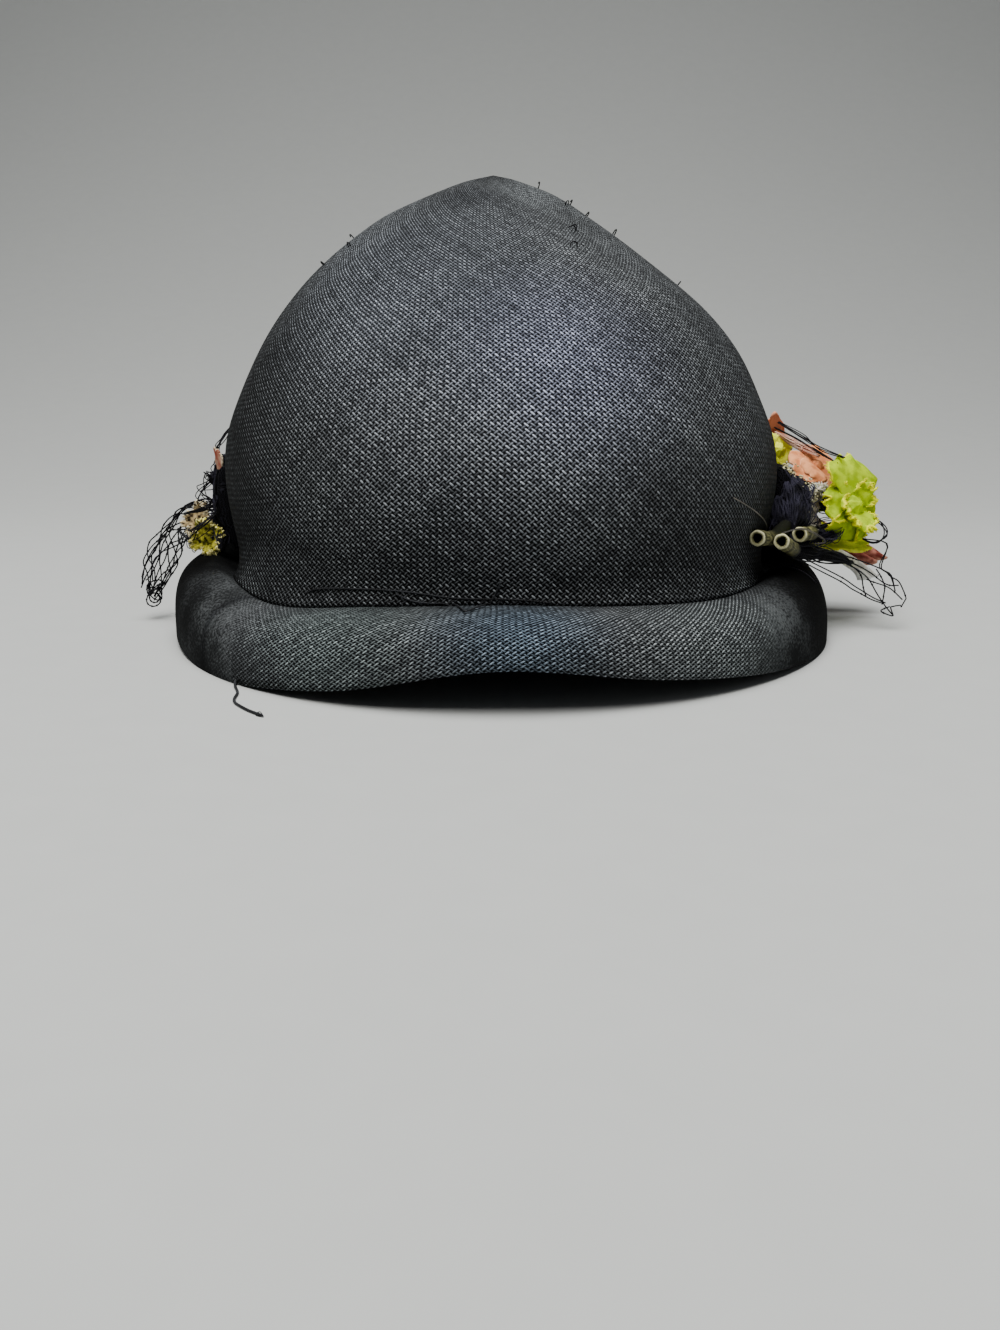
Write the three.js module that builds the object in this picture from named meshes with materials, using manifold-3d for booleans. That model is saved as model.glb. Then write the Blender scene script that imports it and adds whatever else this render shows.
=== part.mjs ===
// A small straw cocktail hat: pointed crown, narrow turned-down brim, and a trim of gathered net,
// cloth flowers and cut stems at the foot of the crown.
// Millimetres, +Z up. Z = 0 is the surface that the hat rests on, the wearer looks along +Y,
// and the origin lies below the middle of the head opening.

import * as THREE from 'three';
import { mergeVertices } from 'three/addons/utils/BufferGeometryUtils.js';
import Module from 'manifold-3d';

const wasm = await Module();
wasm.setup();

// Driving dimensions
const STRAW_WALL = 1.6;
const PETAL_CLOTH = 1.0;
const GAP = 0.3;
const DEEPEST_DROP = 23.0;
const SEAM_HEIGHT = DEEPEST_DROP + GAP;
const COLUMNS = 56;
const SLOPE_STEP = 1e-3;
const WELD = 1e-4;
const FACET_MERGE = 0.06;

const STRAW_COLOUR = 0x15171c;
const NET_COLOUR = 0x0b0b10;
const LIME = 0x9fc41a;
const CORAL = 0xd9745c;
const YELLOW_GREEN = 0xc3c23a;
const CREAM = 0xd8cdb4;
const DUSKY_PINK = 0xb06a63;
const STEM_COLOUR = 0x9a9a62;
const ROUGHNESS = { straw: 0.55, net: 0.8, stem: 0.8, petal: 0.9 };

// Crown: level sections from the seam to the tip, ellipses that lean a little to one side.
const CROWN_SECTIONS = [
  { rise: 0.0, halfWidth: 79.5, halfLength: 92.5, lean: 0.0 },
  { rise: 12.0, halfWidth: 82.4, halfLength: 95.8, lean: 0.2 },
  { rise: 24.0, halfWidth: 83.6, halfLength: 97.2, lean: 0.3 },
  { rise: 36.0, halfWidth: 82.2, halfLength: 95.6, lean: 0.2 },
  { rise: 48.0, halfWidth: 77.8, halfLength: 90.4, lean: -0.2 },
  { rise: 60.0, halfWidth: 71.4, halfLength: 82.6, lean: -0.7 },
  { rise: 72.0, halfWidth: 62.2, halfLength: 71.4, lean: -1.6 },
  { rise: 83.0, halfWidth: 50.8, halfLength: 57.8, lean: -3.2 },
  { rise: 93.0, halfWidth: 37.4, halfLength: 42.0, lean: -4.0 },
  { rise: 102.0, halfWidth: 22.4, halfLength: 24.6, lean: -3.8 },
  { rise: 108.0, halfWidth: 9.6, halfLength: 10.0, lean: -3.0 },
  { rise: 110.5, halfWidth: 0.0, halfLength: 0.0, lean: -2.0 },
];
const CROWN_ROWS = { outer: 18, inner: 9 };
// The dents fade in between these shares of the crown's height.
const DENT_FADE = { from: 0.6, to: 0.8 };

// Hollows (sink above zero) and swellings (sink below zero) near the tip, by their place in plan.
const CROWN_DENTS = [
  { x: -19.0, y: 0.0, radius: 8.0, sink: 1.4 },
  { x: -36.0, y: -4.0, radius: 9.0, sink: -1.0 },
  { x: -4.0, y: -9.0, radius: 5.0, sink: 1.0 },
  { x: 2.0, y: -16.0, radius: 5.5, sink: 1.3 },
  { x: 8.0, y: -23.0, radius: 6.0, sink: 0.9 },
  { x: 15.0, y: -12.0, radius: 9.0, sink: -1.0 },
];

// Brim, at equal steps round the hat from the back, towards the wearer's right. The seam sinks below the
// hat's level and the brim swells above the seam, reaches out from it, curls over more or less squarely,
// and drops to its edge, which is counted from the hat's level.
const BRIM_SECTIONS = [
  { fromBack: 0.0, drop: 12.2, reach: 23.5, squareness: 2.8, sink: 1.0, swell: 0.0 },
  { fromBack: 22.5, drop: 16.7, reach: 22.6, squareness: 3.0, sink: 2.4, swell: 0.2 },
  { fromBack: 45.0, drop: 20.9, reach: 21.5, squareness: 3.2, sink: 4.2, swell: 0.8 },
  { fromBack: 67.5, drop: 23.0, reach: 21.5, squareness: 2.9, sink: 4.4, swell: 3.6 },
  { fromBack: 90.0, drop: 19.5, reach: 21.5, squareness: 2.9, sink: 4.2, swell: 4.2 },
  { fromBack: 112.5, drop: 17.2, reach: 21.4, squareness: 3.2, sink: 3.4, swell: 3.4 },
  { fromBack: 135.0, drop: 19.2, reach: 21.8, squareness: 3.2, sink: 2.0, swell: 2.0 },
  { fromBack: 157.5, drop: 22.4, reach: 22.0, squareness: 3.0, sink: 0.8, swell: 0.8 },
  { fromBack: 180.0, drop: 23.2, reach: 22.0, squareness: 3.0, sink: 0.0, swell: 0.0 },
  { fromBack: 202.5, drop: 22.4, reach: 22.0, squareness: 3.0, sink: 0.8, swell: 0.8 },
  { fromBack: 225.0, drop: 19.2, reach: 21.8, squareness: 3.2, sink: 2.0, swell: 2.0 },
  { fromBack: 247.5, drop: 17.2, reach: 21.2, squareness: 3.5, sink: 3.4, swell: 3.4 },
  { fromBack: 270.0, drop: 18.4, reach: 20.4, squareness: 3.9, sink: 4.2, swell: 4.2 },
  { fromBack: 292.5, drop: 21.2, reach: 20.6, squareness: 3.8, sink: 5.0, swell: 4.2 },
  { fromBack: 315.0, drop: 23.0, reach: 21.5, squareness: 3.2, sink: 6.0, swell: 1.0 },
  { fromBack: 337.5, drop: 19.4, reach: 22.6, squareness: 3.0, sink: 2.6, swell: 0.2 },
];
const BRIM_STATIONS = [0.0, 0.014, 0.05, 0.16, 0.34, 0.52, 0.7, 0.86, 1.0];
// The crown's foot follows the seam down within this rise, and the brim swells within this reach.
const SEAM_BEND = { rise: 8.0, reach: 9.0 };

// Net band: azimuths are degrees from +X (the photographed right side) through +Y (the front).
// Its foot lies higher on the crown by a share of the seam's sink, so that it clears the brim's swell.
const BAND = { start: -9, end: 189, foot: 1.2, lift: 0.6, top: 26.0, edge: 1.2 };
const BAND_STEPS = { along: 44, up: 5 };
const BAND_FULLNESS = [{ depth: 13.0 }, { depth: 7.0 }, { depth: 6.0 }, { depth: 6.0 }, { depth: 4.5 }];
// The band's gathers: how many, how deep, how slanting, how round the swell, and how blunt its ends.
const GATHERS = { count: 15, depth: 0.28, slant: 0.6, roundness: 0.6, bluntness: 0.35, taper: 10 };

// Trim at the two sides. A seat is a place on the band: its azimuth and its rise above the seam.
const PETAL_OUTLINE = { root: 0.06, tip: 0.88, fullness: 0.7 };
const STEM = { radius: 2.1, bore: 1.3, steps: 4, sides: 4 };
const STALK = { radius: 1.6, taper: 0.8, sides: 7 };
const HEART = { sides: 6, rows: 4, petalRoot: 0.6 };
const FLORET_PETAL = { length: 4.5, width: 5.5, rise: 30, curl: -20, cup: 0.6, steps: 2 };

const FLOWERS = [
  {
    name: 'lime_flower', colour: LIME, seat: { azimuth: 3, rise: 13 },
    centre: [109, -9, 37], facing: [0.5, -0.8, 0.3], heart: 3.0,
    petals: [
      { turn: 80, length: 15, width: 20 },
      { turn: 8, length: 11.5, width: 14 },
      { turn: 165, length: 9, width: 13 },
      { turn: -48, length: 12.5, width: 14 },
      { turn: -112, length: 12.5, width: 14 },
    ],
    petal: { rise: 22, curl: -58, cup: -1.2, ruffle: 1.0, waves: 2 },
  },
  {
    name: 'coral_flower', colour: CORAL, seat: { azimuth: 3.5, rise: 20 },
    centre: [99.5, 1, 48.5], facing: [0.4, -0.6, 0.7], heart: 2.0, petals: evenPetals(3, 60),
    petal: { length: 9, width: 13, rise: 12, curl: -32, cup: -1.0, ruffle: 0.5, waves: 1 },
  },
  {
    name: 'yellow_flower', colour: YELLOW_GREEN, seat: { azimuth: 4, rise: 24 },
    centre: [88.2, 7, 53], facing: [0.35, -0.9, 0.2], heart: 2.4,
    petals: evenPetals(4, 45), petal: FLORET_PETAL,
  },
  {
    name: 'white_flower', colour: CREAM, seat: { azimuth: -4, rise: 14 },
    centre: [97.6, -5.5, 36], facing: [0.5, -0.8, 0], heart: 1.8,
    petals: [{ turn: 95, width: 7 }, { turn: 170, width: 7 }, { turn: 245, width: 8 }],
    petal: { length: 7, rise: 20, curl: 20, cup: 0.8, ruffle: 0.5, steps: 3 },
  },
  {
    name: 'left_floret_1', colour: YELLOW_GREEN, seat: { azimuth: 186, rise: 7.5 },
    centre: [-89.5, -12, 27.5], facing: [-0.2, -0.9, 0.2], heart: 2.0,
    petals: evenPetals(4, 20), petal: FLORET_PETAL,
  },
  {
    name: 'left_floret_2', colour: CREAM, seat: { azimuth: 182, rise: 8.5 },
    centre: [-94, -4, 31.5], facing: [-0.5, -0.8, 0.5], heart: 2.0,
    petals: evenPetals(4, 0), petal: FLORET_PETAL,
  },
];

const LEAVES = [
  {
    name: 'lime_leaf', colour: LIME, seat: { azimuth: 4, rise: 6.5 },
    heading: [1, -0.5, -0.02], upwards: [0, -0.5, 1], petal: { length: 30, width: 13, curl: -18, cup: 0.8 },
  },
  {
    name: 'pink_petal', colour: DUSKY_PINK, seat: { azimuth: 14, rise: 7 },
    heading: [1, -0.52, 0], upwards: [0, -0.5, 1],
    petal: { length: 46, width: 12, rise: 3, curl: -36, cup: -1.0 },
  },
  {
    name: 'pale_petal', colour: CREAM, seat: { azimuth: 6, rise: 5 },
    heading: [1, -0.45, 0], upwards: [0, -0.5, 1],
    petal: { length: 39, width: 7, curl: -42, cup: -0.6, steps: 3 },
  },
  {
    name: 'coral_bud', colour: CORAL, seat: { azimuth: 9, rise: 24 },
    heading: [-0.1, -0.3, 1], upwards: [0.3, -1, 0],
    petal: { length: 19, width: 9, curl: 10, cup: -1.0, steps: 3 },
  },
  {
    name: 'left_bud', colour: CORAL, seat: { azimuth: 184, rise: 24 },
    heading: [0.02, -0.1, 1], upwards: [-1, -0.6, 0],
    petal: { length: 9, width: 6, curl: 16, cup: -0.8, steps: 3 },
  },
];

const STEMS = [
  { name: 'stem_1', seat: { azimuth: -8.5, rise: 12 }, bend: [78.6, -38, 31.4], end: [70.1, -54, 33] },
  { name: 'stem_2', seat: { azimuth: -7, rise: 5.8 }, bend: [85.8, -31, 26.6], end: [78, -48.8, 31.4] },
  { name: 'stem_3', seat: { azimuth: -5, rise: 7.5 }, bend: [92.6, -23, 30.5], end: [86.6, -34, 31.4] },
];

// Coarse net cut through in meshes; its outer strand is thinner where the net narrows.
const NET = { strand: 0.9, hole: 0.82, uneven: 0.12 };
const NETS = [
  {
    name: 'net_tail_right', seat: { azimuth: -2, rise: 5.5 }, startWidth: 4, cup: -1.5,
    meshes: { across: 2, along: 5 },
    spine: [
      { x: 107, y: -15, z: 19.5, width: 8 },
      { x: 116, y: -18, z: 12.5, width: 11 },
      { x: 122.7, y: -19, z: 7.2, width: 7.5 },
    ],
  },
  {
    name: 'net_tail_left', seat: { azimuth: 178, rise: 12 }, startWidth: 6, cup: -2.5,
    meshes: { across: 2, along: 6 },
    spine: [
      { x: -97.3, y: 3, z: 33.5, width: 7 },
      { x: -104.5, y: 1, z: 26.6, width: 8.5 },
      { x: -108, y: -1, z: 18, width: 9 },
      { x: -112.5, y: -2, z: 5.5, width: 8 },
    ],
  },
];
const NET_FACING = [0, -1, 0.2];

const degrees = THREE.MathUtils.degToRad;
const vector = (x, y, z) => new THREE.Vector3(x, y, z);

function splineThrough(rows, columns, closed = false) {
  const points = rows.map((row) => vector(...columns.map((column) => row[column])));
  return new THREE.CatmullRomCurve3(points, closed, 'catmullrom');
}

const crownSizes = splineThrough(CROWN_SECTIONS, ['halfWidth', 'halfLength', 'rise']);
const crownLean = splineThrough(CROWN_SECTIONS, ['lean', 'lean', 'lean']);
const brimSizes = splineThrough(BRIM_SECTIONS, ['drop', 'reach', 'squareness'], true);
const seamLevels = splineThrough(BRIM_SECTIONS, ['sink', 'swell', 'swell'], true);
const bandFullness = splineThrough(BAND_FULLNESS, ['depth', 'depth', 'depth']);

// Share of the way round the hat from the back.
const shareRound = (azimuth) => THREE.MathUtils.euclideanModulo(azimuth / (2 * Math.PI) + 0.25, 1);
const seamSink = (azimuth) => seamLevels.getPoint(shareRound(azimuth)).x;

// A normal of the surface place(a, b), from two short steps along it.
function surfaceNormal(place, a, b) {
  const here = place(a, b);
  const alongA = place(a + SLOPE_STEP, b).sub(here);
  const alongB = place(a, b + SLOPE_STEP).sub(here);
  return alongA.cross(alongB).normalize();
}

// Crown's outer face at an azimuth (radians) and a share of the way from the seam to the tip.
function crownFace(azimuth, share) {
  const size = crownSizes.getPoint(share);
  const x = size.x * Math.cos(azimuth) + crownLean.getPoint(share).x;
  const y = size.y * Math.sin(azimuth);
  const sink = CROWN_DENTS.reduce((sum, dent) => {
    const away = Math.hypot(x - dent.x, y - dent.y) / dent.radius;
    return sum + dent.sink * Math.exp(-away * away);
  }, 0);
  const dented = sink * THREE.MathUtils.smoothstep(share, DENT_FADE.from, DENT_FADE.to);
  const drawn = seamSink(azimuth) * (1 - THREE.MathUtils.smoothstep(size.z, 0, SEAM_BEND.rise));
  return vector(x, y, SEAM_HEIGHT + size.z - dented - drawn);
}

function crownOffset(azimuth, share, outward) {
  if (share > 1 - SLOPE_STEP) {
    return crownFace(0, 1).add(vector(0, 0, outward));
  }
  return crownFace(azimuth, share).addScaledVector(surfaceNormal(crownFace, azimuth, share), outward);
}

// Brim's upper face at an azimuth and a share of the way from the seam to the edge: it swells above the
// seam and curls over in a quarter of a superellipse that ends upright.
function brimFace(azimuth, share) {
  const size = brimSizes.getPoint(shareRound(azimuth));
  const { x: sink, y: swell } = seamLevels.getPoint(shareRound(azimuth));
  const turn = (share * Math.PI) / 2;
  const out = size.y * Math.sin(turn) ** (2 / size.z);
  const curl = 1 - Math.cos(turn) ** (2 / size.z);
  const swollen = swell * THREE.MathUtils.smoothstep(out, 0, SEAM_BEND.reach);
  const drop = sink - swollen + (Math.min(size.x, DEEPEST_DROP) - sink + swell) * curl;
  const { halfWidth, halfLength } = CROWN_SECTIONS[0];
  const foot = vector(halfWidth * Math.cos(azimuth), halfLength * Math.sin(azimuth), SEAM_HEIGHT - GAP);
  const outwards = vector(Math.cos(azimuth) / halfWidth, Math.sin(azimuth) / halfLength, 0).normalize();
  return foot.addScaledVector(outwards, out).add(vector(0, 0, -drop));
}

function brimOffset(azimuth, share, inward) {
  const { halfWidth, halfLength } = CROWN_SECTIONS[0];
  const outwards = vector(Math.cos(azimuth) / halfWidth, Math.sin(azimuth) / halfLength, 0).normalize();
  const face = brimFace(azimuth, share);
  const ahead = brimFace(azimuth, Math.min(share + SLOPE_STEP, 1));
  const behind = brimFace(azimuth, Math.max(share - SLOPE_STEP, 0));
  const run = ahead.sub(behind);
  const slope = Math.atan2(-run.z, Math.hypot(run.x, run.y));
  const normal = outwards.multiplyScalar(Math.sin(slope)).add(vector(0, 0, Math.cos(slope)));
  return face.addScaledVector(normal, -inward);
}

// A closed ring: a stand-in profile is revolved, then each vertex moves to place(station, azimuth).
function ringGeometry(stations, place) {
  const profile = stations.map((station, index) => new THREE.Vector2(1, index));
  const ring = new THREE.LatheGeometry(profile, COLUMNS);
  const position = ring.getAttribute('position');
  for (let column = 0; column <= COLUMNS; column += 1) {
    const azimuth = (2 * Math.PI * (column % COLUMNS)) / COLUMNS;
    stations.forEach((station, index) => {
      const point = place(station, azimuth);
      position.setXYZ(column * stations.length + index, point.x, point.y, point.z);
    });
  }
  return welded(ring);
}

// A closed thin wall round the surface at(u, v): a flat box of unit sides is bent along it.
// depth(u, v) gives the wall's inner and outer distance from the surface.
function sheetGeometry(at, stepsU, stepsV, depth) {
  const box = new THREE.BoxGeometry(1, 1, 1, stepsU, stepsV, 1);
  const position = box.getAttribute('position');
  for (let index = 0; index < position.count; index += 1) {
    const u = position.getX(index) + 0.5;
    const v = position.getY(index) + 0.5;
    const wall = depth(u, v);
    const offset = position.getZ(index) > 0 ? wall.outer : wall.inner;
    const point = at(u, v).addScaledVector(surfaceNormal(at, u, v), offset);
    position.setXYZ(index, point.x, point.y, point.z);
  }
  return welded(box);
}

function welded(geometry) {
  geometry.deleteAttribute('normal');
  geometry.deleteAttribute('uv');
  return mergeVertices(geometry, WELD);
}

function solidOf(geometry) {
  const whole = welded(geometry);
  const vertProperties = new Float32Array(whole.getAttribute('position').array);
  const triVerts = new Uint32Array(whole.getIndex().array);
  return new wasm.Manifold(new wasm.Mesh({ numProp: 3, vertProperties, triVerts }));
}

function geometryOf(solid) {
  const mesh = solid.getMesh();
  const geometry = new THREE.BufferGeometry();
  geometry.setAttribute('position', new THREE.BufferAttribute(mesh.vertProperties, 3));
  geometry.setIndex(new THREE.BufferAttribute(mesh.triVerts, 1));
  return geometry;
}

function fused(geometries) {
  return geometries.map(solidOf).reduce((whole, piece) => whole.add(piece));
}

const evenShares = (rows) => Array.from({ length: rows + 1 }, (unused, row) => row / rows);

function crownGeometry() {
  const inner = evenShares(CROWN_ROWS.inner).toReversed().map((share) => ({ share, outward: -STRAW_WALL }));
  const outer = evenShares(CROWN_ROWS.outer).map((share) => ({ share, outward: 0 }));
  const place = ({ share, outward }, azimuth) => crownOffset(azimuth, share, outward);
  return ringGeometry([...inner, ...outer], place);
}

// The brim's inner edge lies under the crown's edge, so its first stations reach in by the wall's thickness.
function brimGeometry(grow) {
  const under = STRAW_WALL + grow;
  const upper = BRIM_STATIONS.toReversed().map((share) => ({ share, inward: -grow, tuck: 0 }));
  const lower = BRIM_STATIONS.map((share) => ({ share, inward: under, tuck: 0 }));
  const tucked = [-grow, under].map((inward) => ({ share: 0, inward, tuck: STRAW_WALL }));
  const stations = [...upper, ...tucked, ...lower, upper[0]];
  return ringGeometry(stations, ({ share, inward, tuck }, azimuth) => {
    const point = brimOffset(azimuth, share, inward);
    const inwards = vector(-point.x, -point.y, 0).normalize();
    return point.addScaledVector(inwards, tuck);
  });
}

// Share of the crown's height that has the given rise, found by halving.
function shareAtRise(rise) {
  let low = 0;
  let high = 1;
  for (let step = 0; step < 24; step += 1) {
    const middle = (low + high) / 2;
    if (crownSizes.getPoint(middle).z < rise) {
      low = middle;
    } else {
      high = middle;
    }
  }
  return low;
}

const bandAzimuth = (u) => degrees(THREE.MathUtils.lerp(BAND.start, BAND.end, u));
const bandFoot = (azimuth) => BAND.foot + BAND.lift * seamSink(azimuth);

// The band's thickness: full in the middle of its height, thin at its edges and ends, with slanting gathers.
function bandDepth(u, v) {
  const fromEnd = Math.min(u, 1 - u);
  const ends = Math.min(1, GATHERS.taper * fromEnd + GATHERS.bluntness);
  const swell = Math.max(Math.sin(Math.PI * v), 0) ** GATHERS.roundness * Math.max(ends, 0);
  const gather = 1 + GATHERS.depth * Math.sin(2 * Math.PI * (GATHERS.count * u + GATHERS.slant * v));
  return BAND.edge + bandFullness.getPoint(u).x * swell * gather;
}

function bandGeometry(grow) {
  const onCrown = (u, v) => {
    const azimuth = bandAzimuth(u);
    return crownFace(azimuth, shareAtRise(THREE.MathUtils.lerp(bandFoot(azimuth), BAND.top, v)));
  };
  return sheetGeometry(onCrown, BAND_STEPS.along, BAND_STEPS.up, (u, v) => ({
    inner: GAP - grow,
    outer: GAP + bandDepth(u, v) + grow,
  }));
}

// A point of the band's outer face, by azimuth in degrees and rise above the seam.
function bandSeat({ azimuth, rise }) {
  const u = THREE.MathUtils.inverseLerp(BAND.start, BAND.end, azimuth);
  const v = THREE.MathUtils.inverseLerp(bandFoot(degrees(azimuth)), BAND.top, rise);
  return crownOffset(degrees(azimuth), shareAtRise(rise), GAP + bandDepth(u, v));
}

// The crown as a full body, grown by the gap.
function crownCore() {
  const foot = vector(0, 0, SEAM_HEIGHT);
  const place = (share, azimuth) => (share === null ? foot.clone() : crownOffset(azimuth, share, GAP));
  return ringGeometry([null, ...evenShares(CROWN_ROWS.outer)], place);
}

const cutters = [bandGeometry(GAP), crownCore(), brimGeometry(GAP)].map(solidOf);

// A petal of cloth: it lies along +Y from its base, turns up by rise and then by curl, is cupped across
// and ruffled towards its tip.
function petalGeometry({ length, width, rise = 0, curl = 0, cup = 0, ruffle = 0, waves = 2, steps = 4 }) {
  const start = degrees(rise);
  const bend = degrees(curl) || SLOPE_STEP;
  const at = (u, v) => {
    const across = 2 * u - 1;
    const bow = Math.sin(Math.PI * THREE.MathUtils.lerp(PETAL_OUTLINE.root, PETAL_OUTLINE.tip, v));
    const halfWidth = (width / 2) * bow ** PETAL_OUTLINE.fullness;
    const turned = start + bend * v;
    const along = (length * (Math.sin(turned) - Math.sin(start))) / bend;
    const lift = (length * (Math.cos(start) - Math.cos(turned))) / bend;
    const wave = ruffle * v * v * Math.sin(Math.PI * waves * across);
    return vector(across * halfWidth, along, lift + cup * across * across * v + wave);
  };
  return sheetGeometry(at, steps, steps, () => ({ inner: -PETAL_CLOTH / 2, outer: PETAL_CLOTH / 2 }));
}

// A stalk between two points, tapering to its seat.
function stalkGeometry(from, to) {
  const along = to.clone().sub(from);
  const { radius, taper, sides } = STALK;
  const stalk = new THREE.CylinderGeometry(radius, radius * taper, along.length(), sides);
  const turn = new THREE.Quaternion().setFromUnitVectors(vector(0, 1, 0), along.clone().normalize());
  stalk.applyQuaternion(turn);
  stalk.translate(...from.clone().add(to).multiplyScalar(0.5).toArray());
  return stalk;
}

// A sewn-on piece stops a gap short of the band, the crown and the brim.
function trimmed(solid) {
  const cut = cutters.reduce((rest, cutter) => rest.subtract(cutter), solid);
  return geometryOf(cut.simplify(FACET_MERGE));
}

// A right-handed frame at a place: its third axis looks along facing, its second one upwards.
function frameAt(place, facing) {
  const ahead = vector(...facing).normalize();
  const right = vector(0, 0, 1).cross(ahead).normalize();
  return new THREE.Matrix4().makeBasis(right, ahead.clone().cross(right), ahead).setPosition(place);
}

function evenPetals(count, first) {
  return Array.from({ length: count }, (unused, index) => ({ turn: first + (360 * index) / count }));
}

// A flower: petals round a heart that looks along facing, on a stalk from its seat on the band.
// A petal's turn is counted from the flower's own right, through its top.
function flowerGeometry({ centre, facing, seat, petals, heart, petal }) {
  const middle = vector(...centre);
  const pieces = petals.map((row) => {
    const piece = petalGeometry({ ...petal, ...row }).translate(0, heart * HEART.petalRoot, 0);
    return piece.rotateZ(degrees(row.turn - 90));
  });
  pieces.push(new THREE.SphereGeometry(heart, HEART.sides, HEART.rows));
  pieces.forEach((piece) => piece.applyMatrix4(frameAt(middle, facing)));
  const seatPoint = bandSeat(seat);
  const sunk = seatPoint.clone().add(seatPoint.clone().sub(middle).setLength(STRAW_WALL));
  pieces.push(stalkGeometry(sunk, middle));
  return trimmed(fused(pieces));
}

// One petal or leaf whose base is sewn to the band.
function leafGeometry({ seat, heading, upwards, petal }) {
  const forward = vector(...heading).normalize();
  const side = forward.clone().cross(vector(...upwards)).normalize();
  const up = side.clone().cross(forward);
  const root = bandSeat(seat).addScaledVector(forward, -STRAW_WALL);
  const frame = new THREE.Matrix4().makeBasis(side, forward, up).setPosition(root);
  return trimmed(solidOf(petalGeometry(petal).applyMatrix4(frame)));
}

// A cut hollow stem that leaves the band and ends open.
function stemGeometry({ seat, bend, end }) {
  const outline = new THREE.Shape().absarc(0, 0, STEM.radius, 0, 2 * Math.PI);
  outline.holes.push(new THREE.Path().absarc(0, 0, STEM.bore, 0, 2 * Math.PI, true));
  const route = new THREE.CatmullRomCurve3([bandSeat(seat), vector(...bend), vector(...end)]);
  const tube = new THREE.ExtrudeGeometry(outline, {
    steps: STEM.steps,
    curveSegments: STEM.sides,
    bevelEnabled: false,
    extrudePath: route,
  });
  return trimmed(solidOf(tube));
}

// Coarse net: a strip with diamond meshes cut through, bent along a spine with its own width at each place.
function netGeometry({ seat, spine, startWidth, cup, meshes }) {
  const outline = new THREE.Shape().setFromPoints(notchedOutline(meshes.across, meshes.along));
  for (let column = 1; column < 2 * meshes.across; column += 1) {
    for (let row = 1; row < 2 * meshes.along; row += 1) {
      if ((column + row) % 2 === 0) {
        outline.holes.push(diamond(column / 2, row / 2, NET.hole / 2));
      }
    }
  }
  const net = new THREE.ExtrudeGeometry(outline, { depth: 1, steps: 1, bevelEnabled: false });
  const route = new THREE.CatmullRomCurve3([bandSeat(seat), ...spine.map(({ x, y, z }) => vector(x, y, z))]);
  const widths = splineThrough([{ width: startWidth }, ...spine], ['width', 'width', 'width']);
  const at = (u, v) => {
    const across = 2 * u - 1;
    const half = widths.getPoint(v).x / 2;
    const forward = route.getTangent(v);
    const side = forward.clone().cross(vector(...NET_FACING)).normalize();
    const up = side.clone().cross(forward);
    return route.getPoint(v).addScaledVector(side, across * half).addScaledVector(up, cup * across * across);
  };
  const position = net.getAttribute('position');
  for (let index = 0; index < position.count; index += 1) {
    const u = position.getX(index) / meshes.across;
    const v = position.getY(index) / meshes.along;
    const normal = surfaceNormal(at, u, Math.min(v, 1 - SLOPE_STEP));
    const point = at(u, v).addScaledVector(normal, (position.getZ(index) - 0.5) * NET.strand);
    position.setXYZ(index, point.x, point.y, point.z);
  }
  return trimmed(solidOf(net));
}

// The net's outline: a rectangle of whole meshes with half a mesh cut into each side between them.
function notchedOutline(across, along) {
  const half = NET.hole / 2;
  const edge = (length) => {
    const notches = Array.from({ length: length - 1 }, (unused, index) => index + 1);
    return [[0, 0], ...notches.flatMap((place) => [[place - half, 0], [place, half], [place + half, 0]])];
  };
  const sides = [
    edge(across),
    edge(along).map(([run, depth]) => [across - depth, run]),
    edge(across).map(([run, depth]) => [across - run, along - depth]),
    edge(along).map(([run, depth]) => [depth, along - run]),
  ];
  return sides.flat().map((corner) => new THREE.Vector2(...corner));
}

// One mesh of the net: a diamond whose corners swing a little, as hand-knotted meshes do.
function diamond(x, y, half) {
  const corners = [0, 1, 2, 3].map((corner) => {
    const angle = (Math.PI / 2) * (corner + NET.uneven * Math.sin(5 * x + 3 * y + corner));
    return new THREE.Vector2(x - half * Math.cos(angle), y + half * Math.sin(angle));
  });
  return new THREE.Path().setFromPoints(corners);
}

function finish(color, roughness) {
  return new THREE.MeshStandardMaterial({ color, roughness, metalness: 0 });
}

const straw = finish(STRAW_COLOUR, ROUGHNESS.straw);
const netting = finish(NET_COLOUR, ROUGHNESS.net);
const stemCloth = finish(STEM_COLOUR, ROUGHNESS.stem);
const petalCloth = (colour) => finish(colour, ROUGHNESS.petal);

function named(name, geometry, material) {
  const mesh = new THREE.Mesh(geometry, material);
  mesh.name = name;
  return mesh;
}

const hat = new THREE.Group();
hat.add(named('crown', crownGeometry(), straw));
hat.add(named('brim', brimGeometry(0), straw));
hat.add(named('net_band', bandGeometry(0), netting));
FLOWERS.forEach((flower) => hat.add(named(flower.name, flowerGeometry(flower), petalCloth(flower.colour))));
LEAVES.forEach((leaf) => hat.add(named(leaf.name, leafGeometry(leaf), petalCloth(leaf.colour))));
STEMS.forEach((stem) => hat.add(named(stem.name, stemGeometry(stem), stemCloth)));
NETS.forEach((net) => hat.add(named(net.name, netGeometry(net), netting)));

export default hat;
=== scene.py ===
"""Looks of a small straw cocktail hat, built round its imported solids.

Tables give millimetres, and a mesh is turned into metres when it is made. +Z is up, the wearer looks along
+Y, and the origin lies on the resting surface below the middle of the head opening. Azimuths run from +X
through +Y, in degrees in the tables and in radians in the functions that don't say degrees.
"""

import logging
from dataclasses import dataclass, field
from enum import Enum
from typing import ClassVar, Optional, Sequence, Union

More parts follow.
